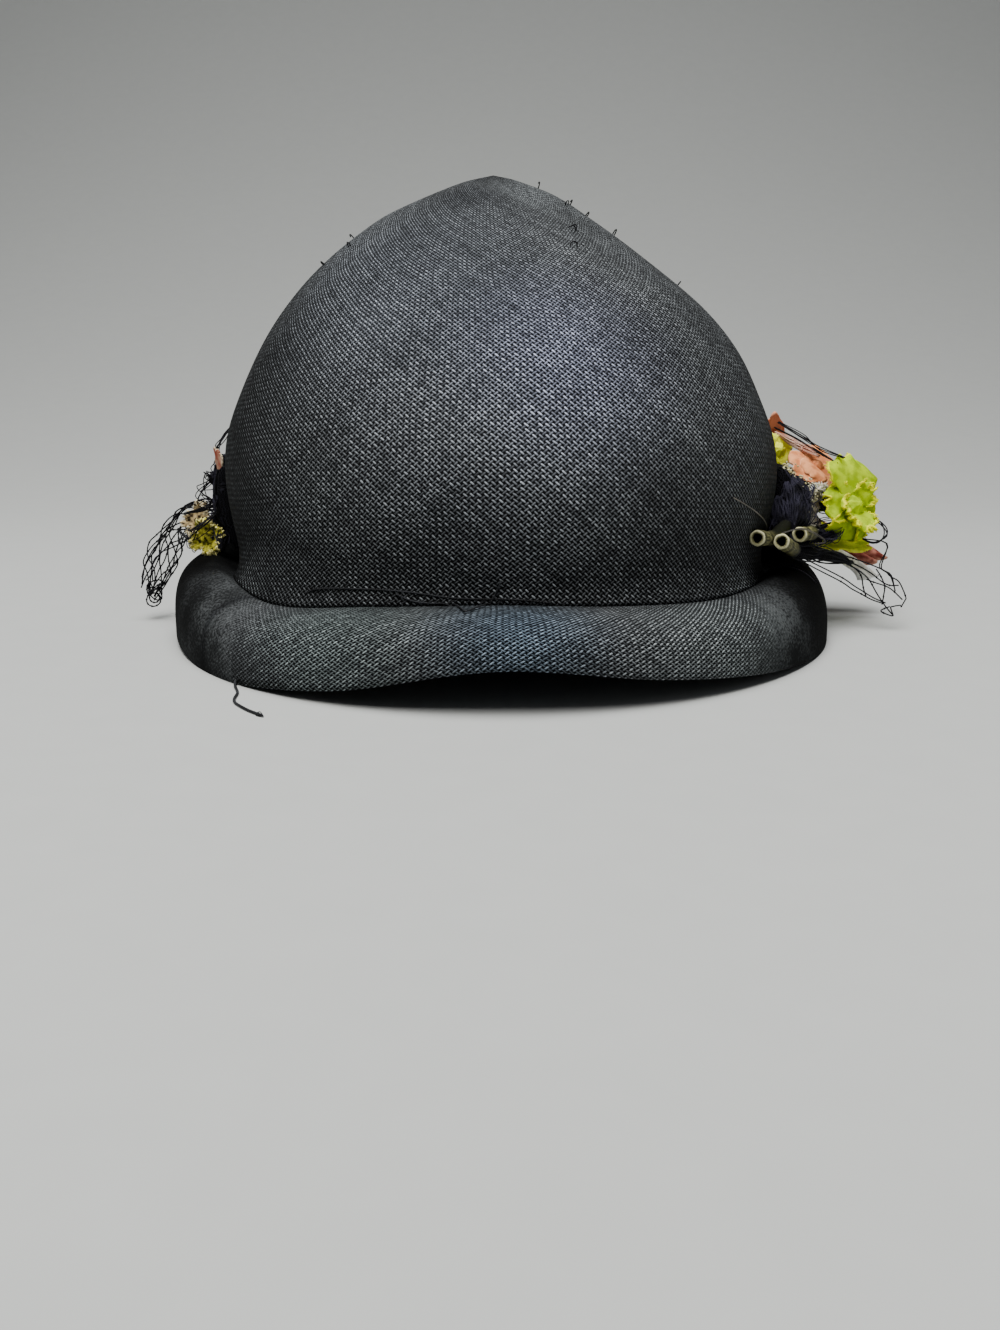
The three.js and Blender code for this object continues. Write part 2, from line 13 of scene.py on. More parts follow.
import bpy
import numpy as np
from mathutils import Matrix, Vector


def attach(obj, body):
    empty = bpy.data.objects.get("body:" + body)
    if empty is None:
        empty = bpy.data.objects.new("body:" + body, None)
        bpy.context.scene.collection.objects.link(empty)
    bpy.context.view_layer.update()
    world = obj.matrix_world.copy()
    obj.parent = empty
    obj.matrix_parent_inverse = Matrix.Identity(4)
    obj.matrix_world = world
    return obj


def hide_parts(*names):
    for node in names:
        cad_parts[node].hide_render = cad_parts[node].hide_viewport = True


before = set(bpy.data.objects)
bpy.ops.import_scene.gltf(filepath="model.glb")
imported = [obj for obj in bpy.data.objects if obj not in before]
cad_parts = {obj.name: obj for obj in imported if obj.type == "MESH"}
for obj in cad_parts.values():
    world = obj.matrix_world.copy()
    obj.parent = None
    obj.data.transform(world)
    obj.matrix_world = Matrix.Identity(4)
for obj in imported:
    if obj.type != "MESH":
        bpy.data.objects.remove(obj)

Array = np.ndarray
Colour = tuple[float, float, float]
Point = tuple[float, float, float]
Link = bpy.types.NodeSocket
Material = bpy.types.Material
Socket = Union[Link, float, Colour]
Key = Union[int, str]

LOG = logging.getLogger("hat")
MM = 0.001
BODY = "root"


class Slot(str, Enum):
    """The record's material slots."""

    STRAW = "straw"
    NET = "net"
    LIME = "lime_cloth"
    CORAL = "coral_cloth"
    YELLOW = "yellow_cloth"
    CREAM = "cream_cloth"
    PINK = "pink_cloth"
    STEM = "stem"


class NetLie(Enum):
    """How a loose end of net lies."""

    SHEET = "sheet"
    ROLL = "roll"


# Shapes as arrays


def spline(rows: Array, share: Array, closed: bool = False) -> Array:
    """Smooth curve through rows: cubics whose slope at a row is half the step between its two neighbours.

    Args:
        rows: A point or a set of sizes in each row.
        share: Shares of the way along the rows, from 0 to 1.
        closed: Whether the last row runs on into the first.

    Returns:
        The values at the shares, with one axis more than share has.
    """
    rows = np.asarray(rows, float)
    share = np.asarray(share, float)
    count = len(rows)
    if closed:
        place = np.mod(share, 1.0) * count
        index = np.floor(place).astype(int)
        before, start, end, after = (rows[(index + step) % count] for step in (-1, 0, 1, 2))
    else:
        extended = np.vstack([2 * rows[:1] - rows[1:2], rows, 2 * rows[-1:] - rows[-2:-1]])
        place = np.clip(share, 0.0, 1.0) * (count - 1)
        index = np.minimum(np.floor(place).astype(int), count - 2)
        before, start, end, after = (extended[index + step] for step in range(4))
    part = (place - index)[..., None]
    leave, arrive = (end - before) / 2, (after - start) / 2
    bend = 2 * (start - end) + leave + arrive
    return start + part * (leave + part * (3 * (end - start) - 2 * leave - arrive + part * bend))


def unit(vectors: Array) -> Array:
    """Vectors of length one along the last axis."""
    return vectors / np.maximum(np.linalg.norm(vectors, axis=-1, keepdims=True), 1e-9)


def smooth(value: Array, low: float, high: float) -> Array:
    """Smooth step from 0 at low to 1 at high."""
    part = np.clip((value - low) / (high - low), 0.0, 1.0)
    return part * part * (3 - 2 * part)


def grid_quads(rows: int, columns: int, closed: bool = False, looped: bool = False) -> Array:
    """Quads of a grid of points that is counted row by row.

    Args:
        rows: Rows of points.
        columns: Points in a row.
        closed: Whether each row's last point joins its first.
        looped: Whether the last row joins the first.

    Returns:
        Four point numbers for each quad, which faces the column step crossed with the row step.
    """
    steps = rows if looped else rows - 1, columns if closed else columns - 1
    row, column = np.meshgrid(*map(np.arange, steps), indexing="ij")
    low, high = row * columns, (row + 1) % rows * columns
    after = (column + 1) % columns
    return np.stack([low + column, low + after, high + after, high + column], axis=-1).reshape(-1, 4)


def corner_uv(pairs: Array) -> Array:
    """UV pairs at the corners of the quads of one grid or more.

    Args:
        pairs: Rows by columns of pairs, with a closed grid's first column repeated at its end.

    Returns:
        An array of quads by four corners by two.
    """
    early, late = slice(None, -1), slice(1, None)
    places = ((early, early), (early, late), (late, late), (late, early))
    return np.stack([pairs[..., row, column, :] for row, column in places], axis=-2).reshape(-1, 4, 2)


def fans(tips: Array, rings: Array) -> Array:
    """Triangles from each tip to the steps of its closed ring, one row of point numbers for each tip."""
    start = np.broadcast_to(np.asarray(tips)[:, None], rings.shape)
    return np.stack([start, rings, np.roll(rings, -1, axis=1)], axis=-1).reshape(-1, 3)


@dataclass
class Surface:
    """Quads and triangles on shared points, with UV pairs at quad corners and a rim share at each point."""

    points: Array
    quads: Array
    tris: Array = field(default_factory=lambda: np.zeros((0, 3), int))
    pairs: Optional[Array] = None
    rim: Union[float, Array] = 0.0

    def __post_init__(self) -> None:
        """Gives zero UV pairs where none were given, and a rim share to each point."""
        self.pairs = np.zeros((len(self.quads), 4, 2)) if self.pairs is None else self.pairs
        self.rim = np.broadcast_to(self.rim, len(self.points))

    @staticmethod
    def joined(parts: Sequence["Surface"]) -> "Surface":
        """One surface that holds all the parts' faces.

        Args:
            parts: The surfaces, which keep their order.

        Returns:
            The joined surface.
        """
        first = np.cumsum([0] + [len(part.points) for part in parts[:-1]])
        rows = [
            (part.points, part.quads + start, part.tris + start, part.pairs, part.rim)
            for part, start in zip(parts, first)
        ]
        return Surface(*map(np.concatenate, zip(*rows)))

    def mesh(self, name: str) -> bpy.types.Mesh:
        """The surface as a smooth mesh in metres, with its UV map and rim attribute.

        Args:
            name: The mesh's name.

        Returns:
            The mesh.
        """
        corners = np.concatenate([self.quads.ravel(), self.tris.ravel()]).astype(np.int32)
        sizes = np.repeat([4, 3], [len(self.quads), len(self.tris)])
        made = bpy.data.meshes.new(name)
        made.vertices.add(len(self.points))
        made.vertices.foreach_set("co", (self.points * MM).astype(np.float32).ravel())
        made.loops.add(len(corners))
        made.loops.foreach_set("vertex_index", corners)
        made.polygons.add(len(sizes))
        made.polygons.foreach_set("loop_start", (np.cumsum(sizes) - sizes).astype(np.int32))
        made.polygons.foreach_set("use_smooth", np.ones(len(sizes), bool))
        made.update(calc_edges=True)
        pairs = np.concatenate([self.pairs.reshape(-1, 2), np.zeros((3 * len(self.tris), 2))])
        made.uv_layers.new(name="UVMap").data.foreach_set("uv", pairs.astype(np.float32).ravel())
        rim = made.attributes.new("rim", "FLOAT", "POINT")
        rim.data.foreach_set("value", self.rim.astype(np.float32))
        return made

    def piece(self, name: str, material: Material, slot: Slot, *nodes: str) -> bpy.types.Object:
        """A piece of the hat that rides on its body.

        Args:
            name: The piece's name.
            material: Its finish.
            slot: The record's material slot that the finish stands for. It is not used.
            *nodes: Solids that the piece replaces.

        Returns:
            The object, at the origin, with its place in its mesh.
        """
        made = bpy.data.objects.new(name, self.mesh(name))
        made.data.materials.append(material)
        bpy.context.scene.collection.objects.link(made)
        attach(made, BODY)
        if nodes:
            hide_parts(*nodes)
        LOG.info("%s: %d points, %d faces", name, len(self.points), len(self.quads) + len(self.tris))
        return made


def closed_wall(front: Array, back: Array, pairs: Sequence[Array], rim: Union[float, Array] = 0.0) -> Surface:
    """Closed wall between two grids of one shape, joined by quads all round their edges.

    Args:
        front: Rows by columns of points, on the side that the column step crossed with the row step looks to.
        back: The points behind them.
        pairs: UV pairs of the front's points and of the back's.
        rim: Rim shares of the front's points and then the back's.

    Returns:
        The closed wall.
    """
    index = np.arange(front[..., 0].size).reshape(front.shape[:2])
    edge = np.concatenate([index[0, :-1], index[:-1, -1], index[-1, :0:-1], index[:0:-1, 0]])
    after = np.roll(edge, -1)
    face = grid_quads(*index.shape)
    sides = np.stack([after, edge, edge + index.size, after + index.size], axis=-1)
    quads = np.concatenate([face, face[:, ::-1] + index.size, sides])
    points = np.concatenate([front.reshape(-1, 3), back.reshape(-1, 3)])
    return Surface(points, quads, pairs=np.concatenate(pairs).reshape(-1, 2)[quads], rim=rim)


def shell(points: Array, thickness: float, pairs: Array, rim: Array) -> Surface:
    """Closed thin wall round a grid, which is moved half the wall along its normals each way.

    Args:
        points: Rows by columns of points.
        thickness: The wall.
        pairs: UV pairs of the points.
        rim: Rim shares of the points.

    Returns:
        The closed wall.
    """
    normals = unit(np.cross(np.gradient(points, axis=1), np.gradient(points, axis=0)))
    step = normals * thickness / 2
    return closed_wall(points + step, points - step, (pairs, pairs), np.tile(rim.ravel(), 2))


def ring_frames(paths: Array) -> tuple[Array, Array]:
    """Two directions square to each path at each of its points, steady along the path.

    The reference for each path is the direction in which its points spread least.

    Args:
        paths: Strands by points by three.

    Returns:
        The side and up directions, of the paths' shape.
    """
    tangent = unit(np.gradient(paths, axis=1))
    centred = paths - paths.mean(axis=1, keepdims=True)
    spread = np.einsum("spi,spj->sij", centred, centred)
    flat = np.linalg.eigh(spread)[1][:, :, 0]
    side = unit(np.cross(flat[:, None, :], tangent))
    return side, np.cross(tangent, side)


def strands(paths: Array, radius: Union[float, Array], sides: int = 5, rim: float = 0.0) -> Surface:
    """Round closed strands along many paths: rings square to the path, and a point at each end.

    Args:
        paths: Strands by points by three.
        radius: The strands' radius, or one for each strand and point.
        sides: Points in a ring.
        rim: Rim share of the strands.

    Returns:
        All strands as one surface, with UV pairs of share round and length along.
    """
    paths = np.asarray(paths, float)
    count, length = paths.shape[:2]
    side, up = ring_frames(paths)
    turn = 2 * np.pi * np.arange(sides) / sides
    reach = np.broadcast_to(radius, (count, length))[..., None, None]
    ring = np.cos(turn)[:, None] * side[:, :, None, :] + np.sin(turn)[:, None] * up[:, :, None, :]
    body = (paths[:, :, None, :] + reach * ring).reshape(-1, 3)
    each = length * sides
    starts = np.arange(count)[:, None] * each
    quads = (grid_quads(length, sides, True)[None] + starts[..., None]).reshape(-1, 4)
    rings = starts + np.arange(sides)
    heads = len(body) + np.arange(count)
    caps = [fans(heads, rings[:, ::-1]), fans(heads + count, rings + each - sides)]
    steps = np.linalg.norm(np.diff(paths, axis=1), axis=-1)
    run = np.concatenate([np.zeros((count, 1)), steps], axis=1).cumsum(axis=1)
    pairs = np.stack(np.broadcast_arrays(np.arange(sides + 1) / sides, run[..., None]), axis=-1)
    points = np.concatenate([body, paths[:, 0], paths[:, -1]])
    return Surface(points, quads, np.concatenate(caps), corner_uv(pairs), rim)


def balls(centres: Array, radius: float) -> Surface:
    """Small knots: strands of three rings that are wide in the middle, all pointing up.

    Args:
        centres: Middles of the knots.
        radius: The knots' radius.

    Returns:
        All knots as one surface.
    """
    lift = np.array([-0.9, 0.0, 0.9])
    paths = centres[:, None, :] + radius * lift[:, None] * np.array([0.02, 0.01, 1.0])
    return strands(paths, radius * np.array([0.45, 1.0, 0.45]), 6)


def bundle(route: Sequence[Point], count: int, spread: float, seed: int, steps: int = 18) -> Array:
    """Paths of many strands near one route: smooth curves through its points, each moved by a random step.

    Args:
        route: The points on the way.
        count: How many strands.
        spread: Usual size of the random steps, smallest at the route's two ends.
        seed: Start of the random numbers.
        steps: Points in each path.

    Returns:
        Strands by points by three.
    """
    rng = np.random.default_rng(seed)
    rows = np.asarray(route, float)
    loose = np.sin(np.pi * np.linspace(0.06, 0.94, len(rows)))[:, None, None]
    moved = rows[:, None, :] + rng.normal(0, spread, (len(rows), count, 3)) * loose
    curves = spline(moved.reshape(len(rows), -1), np.linspace(0, 1, steps))
    return curves.reshape(steps, count, 3).transpose(1, 0, 2)


# Finishes


class Graph:
    """Short calls that add nodes to one tree and link them."""

    def __init__(self, tree: bpy.types.NodeTree) -> None:
        """Keeps the tree."""
        self.tree = tree

    def add(self, kind: str, inputs: dict[Key, Socket], output: Key = 0, **settings: object) -> Link:
        """Adds a node.

        Args:
            kind: The node's type.
            inputs: What its sockets are fed, by number or name.
            output: Number or name of the output.
            **settings: The node's own settings.

        Returns:
            The output's socket.
        """
        made = self.tree.nodes.new(kind)
        for name, value in settings.items():
            setattr(made, name, value)
        for name, value in inputs.items():
            self.feed(made.inputs[name], value)
        return made.outputs[output]

    def feed(self, socket: Link, value: Socket) -> None:
        """Links an output to a socket, or sets a number, vector or colour on it.

        Args:
            socket: The socket to feed.
            value: Another node's output, or a constant.
        """
        if isinstance(value, Link):
            self.tree.links.new(value, socket)
        else:
            socket.default_value = (*value, 1.0) if socket.type == "RGBA" else value

    def math(self, operation: str, *values: Socket) -> Link:
        """The result of one mathematical operation."""
        return self.add("ShaderNodeMath", dict(enumerate(values)), operation=operation)

    def blend(self, share: Socket, low: Socket, high: Socket, way: str = "MIX") -> Link:
        """A colour between two colours."""
        return self.add("ShaderNodeMix", {0: share, 6: low, 7: high}, 2, data_type="RGBA", blend_type=way)

    def tint(self, share: Socket, colour: Socket, factor: Colour) -> Link:
        """A colour multiplied by a factor, as far as the share says."""
        return self.blend(share, colour, factor, "MULTIPLY")

    def between(self, share: Socket, low: Socket, high: Socket) -> Link:
        """A number between two numbers."""
        return self.add("ShaderNodeMix", {0: share, 2: low, 3: high}, data_type="FLOAT")

    def less(self, value: Socket) -> Link:
        """What is left of one after the value is taken away."""
        return self.math("SUBTRACT", 1.0, value)

    def step(self, value: Socket, low: float, high: float) -> Link:
        """Smooth step of a value from 0 at low to 1 at high."""
        sockets = dict(enumerate((value, low, high, 0.0, 1.0)))
        return self.add("ShaderNodeMapRange", sockets, interpolation_type="SMOOTHSTEP")

    def noise(self, vector: Socket, scale: float, detail: float = 2.0) -> Link:
        """Soft noise from 0 to 1 over the vector."""
        return self.add("ShaderNodeTexNoise", {"Vector": vector, "Scale": scale, "Detail": detail})

    def chance(self, vector: Socket) -> Link:
        """One even random number for each whole vector."""
        return self.add("ShaderNodeTexWhiteNoise", {"Vector": vector}, "Value", noise_dimensions="3D")

    def vector(self, *values: Socket) -> Link:
        """A vector of two numbers or three."""
        return self.add("ShaderNodeCombineXYZ", dict(enumerate(values)))

    def part(self, vector: Socket, axis: str) -> Link:
        """The number of a vector along X, Y or Z."""
        return self.add("ShaderNodeSeparateXYZ", {0: vector}, axis)

    def distance(self, vector: Socket, place: Point) -> Link:
        """Distance of the vector from a place, in metres."""
        return self.add("ShaderNodeVectorMath", {0: vector, 1: place}, "Value", operation="DISTANCE")

    def group(self, tree: bpy.types.NodeTree, **values: Socket) -> bpy.types.NodeOutputs:
        """All outputs of a node group with its inputs set, by name."""
        return self.add("ShaderNodeGroup", values, node_tree=tree).node.outputs


class Coat(Graph):
    """A material's tree: its principled shader and the coordinates that its patterns read."""

    def __init__(self, name: str) -> None:
        """Makes the material with a shader and an output.

        Args:
            name: The material's name.
        """
        self.material = bpy.data.materials.new(name)
        self.material.use_nodes = True
        super().__init__(self.material.node_tree)
        self.tree.nodes.clear()
        nodes = self.tree.nodes
        self.shader = nodes.new("ShaderNodeBsdfPrincipled")
        self.feed(nodes.new("ShaderNodeOutputMaterial").inputs["Surface"], self.shader.outputs[0])
        self.place, self.uv = (self.add("ShaderNodeTexCoord", {}, kind) for kind in ("Object", "UV"))

    def rim(self) -> Link:
        """The piece's rim attribute."""
        return self.add("ShaderNodeAttribute", {}, "Fac", attribute_name="rim")

    def set(self, **values: Socket) -> None:
        """Feeds the shader's sockets, named with underscores for spaces."""
        for name, value in values.items():
            self.feed(self.shader.inputs[name.replace("_", " ")], value)

    def bump(self, height: Link, depth: float) -> None:
        """Feeds the shader's normal from a height of that depth in millimetres."""
        sockets = {"Strength": 1.0, "Distance": depth * MM, "Height": height}
        self.set(Normal=self.add("ShaderNodeBump", sockets))


class Group(Graph):
    """A node group's tree, with the sockets it starts from and ends in."""

    def __init__(self, name: str, number: str, outputs: Sequence[str]) -> None:
        """Makes a group from a UV vector and one number to number outputs.

        Args:
            name: The group's name.
            number: The number input's name.
            outputs: Names of the outputs.
        """
        super().__init__(bpy.data.node_groups.new(name, "ShaderNodeTree"))
        sockets = [("UV", "INPUT", "NodeSocketVector"), (number, "INPUT", "NodeSocketFloat")]
        for title, way, kind in sockets + [(title, "OUTPUT", "NodeSocketFloat") for title in outputs]:
            self.tree.interface.new_socket(name=title, in_out=way, socket_type=kind)
        self.entry = self.tree.nodes.new("NodeGroupInput").outputs
        self.exit = self.tree.nodes.new("NodeGroupOutput").inputs


def weave_group() -> bpy.types.NodeTree:
    """Open plain weave: strands at whole steps of u and of v cross by turns, with holes between them.

    A strand's height is round across it, and waves along it by a cosine, up in every other cell. The upper
    one of the two strands is seen. The strands along u are painted brighter than those along v, as a painted
    highlight that favours one direction.

    Returns:
        A group from a UV vector and a wander to the height, the strand mask and the strands' shade.
    """
    graph = Group("straw_weave", "Wander", ("Height", "Strand", "Shade"))
    u, v = (graph.part(graph.entry["UV"], axis) for axis in "XY")
    strayed = []
    for side, layer in ((u, 0.0), (v, 7.0)):
        stray = graph.math("SUBTRACT", graph.noise(graph.vector(u, v, layer), 0.09), 0.5)
        strayed.append(graph.math("MULTIPLY_ADD", stray, graph.entry["Wander"], side))
    whole = [graph.math("FLOOR", side) for side in strayed]
    part = [graph.math("SUBTRACT", graph.math("FRACT", side), 0.5) for side in strayed]
    odd = graph.math("FLOORED_MODULO", graph.math("ADD", *whole), 2.0)
    heights = []
    for across, along, wave in ((part[0], part[1], (0.4, -0.4)), (part[1], part[0], (-0.4, 0.4))):
        wide = graph.math("MULTIPLY", across, 4.0)
        bulge = graph.less(graph.math("MULTIPLY", wide, wide))
        bow = graph.math("COSINE", graph.math("MULTIPLY", along, np.pi))
        waved = graph.math("MULTIPLY_ADD", bow, graph.between(odd, *wave), 0.6)
        heights.append(graph.math("MULTIPLY", graph.math("SQRT", graph.math("MAXIMUM", bulge, 0.0)), waved))
    height = graph.math("MAXIMUM", *heights)
    upper = graph.math("GREATER_THAN", *heights)
    own = graph.chance(graph.vector(graph.between(upper, whole[1], whole[0]), upper, 3.0))
    each = graph.chance(graph.vector(*whole))
    uneven = graph.math("MULTIPLY_ADD", graph.between(0.6, own, each), 0.66, 0.34)
    # strands along v painted darker: a painted highlight that favours the strands along u
    shade = graph.math("MULTIPLY", uneven, graph.between(upper, 1.0, 0.65))
    graph.feed(graph.exit["Height"], height)
    graph.feed(graph.exit["Strand"], graph.step(height, 0.2, 0.8))
    graph.feed(graph.exit["Shade"], shade)
    return graph.tree


def cloth_group() -> bpy.types.NodeTree:
    """Fine cloth: crossed sine ribs of a small pitch over UV in millimetres, broken by soft noise.

    Returns:
        A group from a UV vector and a pitch to the height.
    """
    graph = Group("fine_cloth", "Pitch", ("Height",))
    u, v = (graph.part(graph.entry["UV"], axis) for axis in "XY")
    turn = graph.math("DIVIDE", 2 * np.pi, graph.entry["Pitch"])
    ribs = [graph.math("SINE", graph.math("MULTIPLY", turn, side)) for side in (u, v)]
    crossed = graph.math("MULTIPLY", ribs[0], ribs[1])
    creases = graph.math("MULTIPLY", graph.noise(graph.entry["UV"], 0.5, 4.0), 2.0)
    graph.feed(graph.exit["Height"], graph.math("MULTIPLY_ADD", crossed, 0.25, creases))
    return graph.tree


@dataclass(frozen=True)
class StrawFinish:
    """Dyed woven straw: dark gaps, satin strands whose shade varies with painted glints, and painted light,
    shade and tints.
    """

    name: str
    gap: Colour = (0.0028, 0.003, 0.0034)
    strand: Colour = (0.008, 0.0088, 0.0104)
    # the strands' lightest tone: their greyer worn tops, and a painted highlight for their glint
    pale: Colour = (0.31, 0.335, 0.354)
    felt: tuple[Colour, Colour] = ((0.016, 0.0172, 0.018), (0.098, 0.106, 0.11))
    roughness: float = 0.4
    gloss: float = 0.1
    wander: float = 1.4
    contrast: float = 1.7
    wear: tuple[float, float, float] = (26.0, 1.6, 0.2)
    relief: float = 0.36
    painted_light_and_tints: tuple[tuple[Point, float, Colour], ...] = ()
    fuzzy_from: float = 1.0
    # painted shade at the sides: middle along X, distances where the darkening starts and where it is full,
    # and its tone
    side_shade: tuple[float, float, float, float] = (8.0, 40.0, 84.0, 0.3)
    # painted shade low down: heights where it starts, where it is fullest and where it has faded out, and its
    # tone
    foot: tuple[float, float, float, float] = (16.5, 23.5, 66.0, 0.9)

    def material(self, weave: bpy.types.NodeTree) -> Material:
        """The straw's material.

        Args:
            weave: The shared weave group.

        Returns:
            The finished material.
        """
        coat = Coat(self.name)
        cells = coat.group(weave, UV=coat.uv, Wander=self.wander)
        scale, most, least = self.wear
        worn = coat.math("MULTIPLY_ADD", coat.noise(coat.place, scale, 3.0), most, least)
        # each strand lies between strand and pale tone by its shade, so the pale tone paints glints on
        # scattered cells
        shade = coat.math("MULTIPLY", coat.math("POWER", cells["Shade"], self.contrast), worn)
        x, z = (coat.part(coat.place, axis) for axis in "XZ")
        fuzz = coat.step(coat.math("ABSOLUTE", x), self.fuzzy_from * MM, (self.fuzzy_from + 22.0) * MM)
        # painted shade low down: darker towards the crown's foot, and on the brim near its lowest edge
        lowest, low, high, low_shade_tone = self.foot
        above = coat.less(coat.step(z, low * MM, high * MM))
        hollow = coat.math("MULTIPLY", coat.step(z, lowest * MM, low * MM), above)
        # painted shade at the sides: darker, rougher and with darker holes away from the middle along X
        middle, first, last, side_shade_tone = self.side_shade
        sideways = coat.math("ABSOLUTE", coat.math("SUBTRACT", x, middle * MM))
        side_shade_mask = coat.step(sideways, first * MM, last * MM)
        # where painted shade falls at the sides and low down, the strands thin and the holes darken
        loose = coat.math("MAXIMUM", hollow, side_shade_mask)
        cover = coat.math("MULTIPLY", cells["Strand"], coat.between(loose, 1.0, cells["Strand"]))
        fine = coat.math("MULTIPLY", coat.noise(coat.place, 1400.0, 3.0), coat.noise(coat.place, 60.0, 2.0))
        holes = coat.tint(loose, self.gap, (0.2,) * 3)
        tone = coat.blend(cover, holes, coat.blend(shade, self.strand, self.pale))
        tone = coat.blend(fuzz, tone, coat.blend(coat.step(fine, 0.18, 0.4), *self.felt))
        # painted light, painted shade and tints of the dye, each in a round place
        for place, reach, factor in self.painted_light_and_tints:
            away = coat.distance(coat.place, tuple(MM * part for part in place))
            near = coat.less(coat.step(away, 0.0, reach * MM))
            tone = coat.tint(near, tone, factor)
        tone = coat.tint(coat.rim(), tone, (0.25, 0.25, 0.28))
        # painted shade at the sides, then painted shade low down
        tone = coat.tint(side_shade_mask, tone, (side_shade_tone,) * 3)
        tone = coat.tint(hollow, tone, (low_shade_tone,) * 3)
        matt = coat.math("MAXIMUM", fuzz, side_shade_mask)
        rough = coat.math("MAXIMUM", matt, coat.less(cells["Strand"]))
        coat.set(
            Base_Color=tone,
            Roughness=coat.between(rough, self.roughness, 0.95),
            Specular_IOR_Level=self.gloss,
        )
        coat.bump(coat.between(fuzz, cells["Height"], fine), self.relief)
        return coat.material


@dataclass(frozen=True)
class ClothFinish:
    """Petal cloth: a base with random blotches of painted fold shade, a frayed edge of its own colour and a
    fine weave.
    """

    name: str
    base: Colour
    fold_shade: Colour
    edge: Colour
    relief: float = 0.12
    blotch: float = 330.0
    roughness: float = 0.85
    pitch: float = 0.55

    def material(self, cloth: bpy.types.NodeTree) -> Material:
        """The cloth's material.

        Args:
            cloth: The shared cloth group.

        Returns:
            The finished material.
        """
        coat = Coat(self.name)
        height = coat.group(cloth, UV=coat.uv, Pitch=self.pitch)["Height"]
        mottle = coat.noise(coat.place, self.blotch, 4.0)
        # random blotches of painted fold shade over the base
        body = coat.blend(coat.step(mottle, 0.36, 0.62), self.fold_shade, self.base)
        frayed = coat.math("MULTIPLY_ADD", coat.noise(coat.place, 900.0), 0.7, coat.rim())
        coat.set(
            Base_Color=coat.blend(coat.step(frayed, 0.85, 1.2), body, self.edge),
            Roughness=self.roughness,
            Specular_IOR_Level=0.06,
        )
        coat.bump(height, self.relief)
        return coat.material


@dataclass(frozen=True)
class ThreadFinish:
    """Twisted thread or net strand: a slanting twist and a shade that drifts from strand to strand."""

    name: str
    dark: Colour
    light: Colour
    roughness: float = 0.6
    twist: float = 1.3
    gloss: float = 0.12

    def material(self) -> Material:
        """The thread's material.

        Returns:
            The finished material.
        """
        coat = Coat(self.name)
        u, v = (coat.part(coat.uv, axis) for axis in "XY")
        ply = coat.math("SINE", coat.math("MULTIPLY", coat.math("MULTIPLY_ADD", v, self.twist, u), 2 * np.pi))
        drift = coat.noise(coat.place, 160.0)
        coat.set(
            Base_Color=coat.blend(coat.step(drift, 0.35, 0.75), self.dark, self.light),
            Roughness=coat.math("MULTIPLY_ADD", drift, 0.2, self.roughness - 0.1),
            Specular_IOR_Level=self.gloss,
        )
        coat.bump(ply, 0.06)
        return coat.material


@dataclass(frozen=True)
class GatherFinish:
    """Many layers of gathered net: near-black ground with fine slanting threads over it."""

    name: str
    ground: Colour
    thread: Colour
    pitch: float = 0.9

    def material(self) -> Material:
        """The gathered net's material.

        Returns:
            The finished material.
        """
        coat = Coat(self.name)
        u, v = (coat.part(coat.uv, axis) for axis in "XY")
        bent = coat.math("MULTIPLY_ADD", coat.noise(coat.uv, 0.12), 9.0, u)
        sets = []
        for slope in (0.35, -0.6):
            run = coat.math("MULTIPLY_ADD", v, slope, bent)
            sets.append(coat.math("SINE", coat.math("MULTIPLY", run, 2 * np.pi / self.pitch)))
        height = coat.math("MAXIMUM", sets[0], sets[1])
        bright = coat.math("MULTIPLY", coat.step(height, 0.55, 1.0), coat.noise(coat.uv, 0.35, 3.0))
        coat.set(
            Base_Color=coat.blend(bright, self.ground, self.thread),
            Roughness=coat.between(bright, 0.9, 0.55),
            Specular_IOR_Level=0.1,
        )
        coat.bump(height, 0.35)
        return coat.material


@dataclass(frozen=True)
class StemFinish:
    """Dried hollow stem: lengthwise fibres, darker bands, painted shade towards the band and inside the bore,
    and a pale cut end.
    """

    name: str
    base: Colour
    dark: Colour
    cut: Colour

    def material(self) -> Material:
        """The stem's material.

        Returns:
            The finished material.
        """
        coat = Coat(self.name)
        u, v = (coat.part(coat.uv, axis) for axis in "XY")
        stretched = coat.vector(coat.math("MULTIPLY", u, 34.0), coat.math("MULTIPLY", v, 0.25))
        fibres = coat.noise(stretched, 1.0, 3.0)
        bands = coat.noise(coat.vector(0.0, coat.math("MULTIPLY", v, 0.35)), 1.0, 2.0)
        worn = coat.math("MULTIPLY_ADD", bands, 0.6, coat.math("MULTIPLY", fibres, 0.5))
        body = coat.blend(coat.step(worn, 0.42, 0.66), self.dark, self.base)
        # painted shade towards the band and inside the bore, where the rim share is low
        body = coat.blend(coat.step(coat.rim(), 0.05, 0.4), self.dark, body)
        coat.set(
            Base_Color=coat.blend(coat.step(coat.rim(), 0.55, 0.95), body, self.cut),
            Roughness=coat.math("MULTIPLY_ADD", fibres, 0.25, 0.5),
            Specular_IOR_Level=0.15,
        )
        coat.bump(fibres, 0.18)
        return coat.material


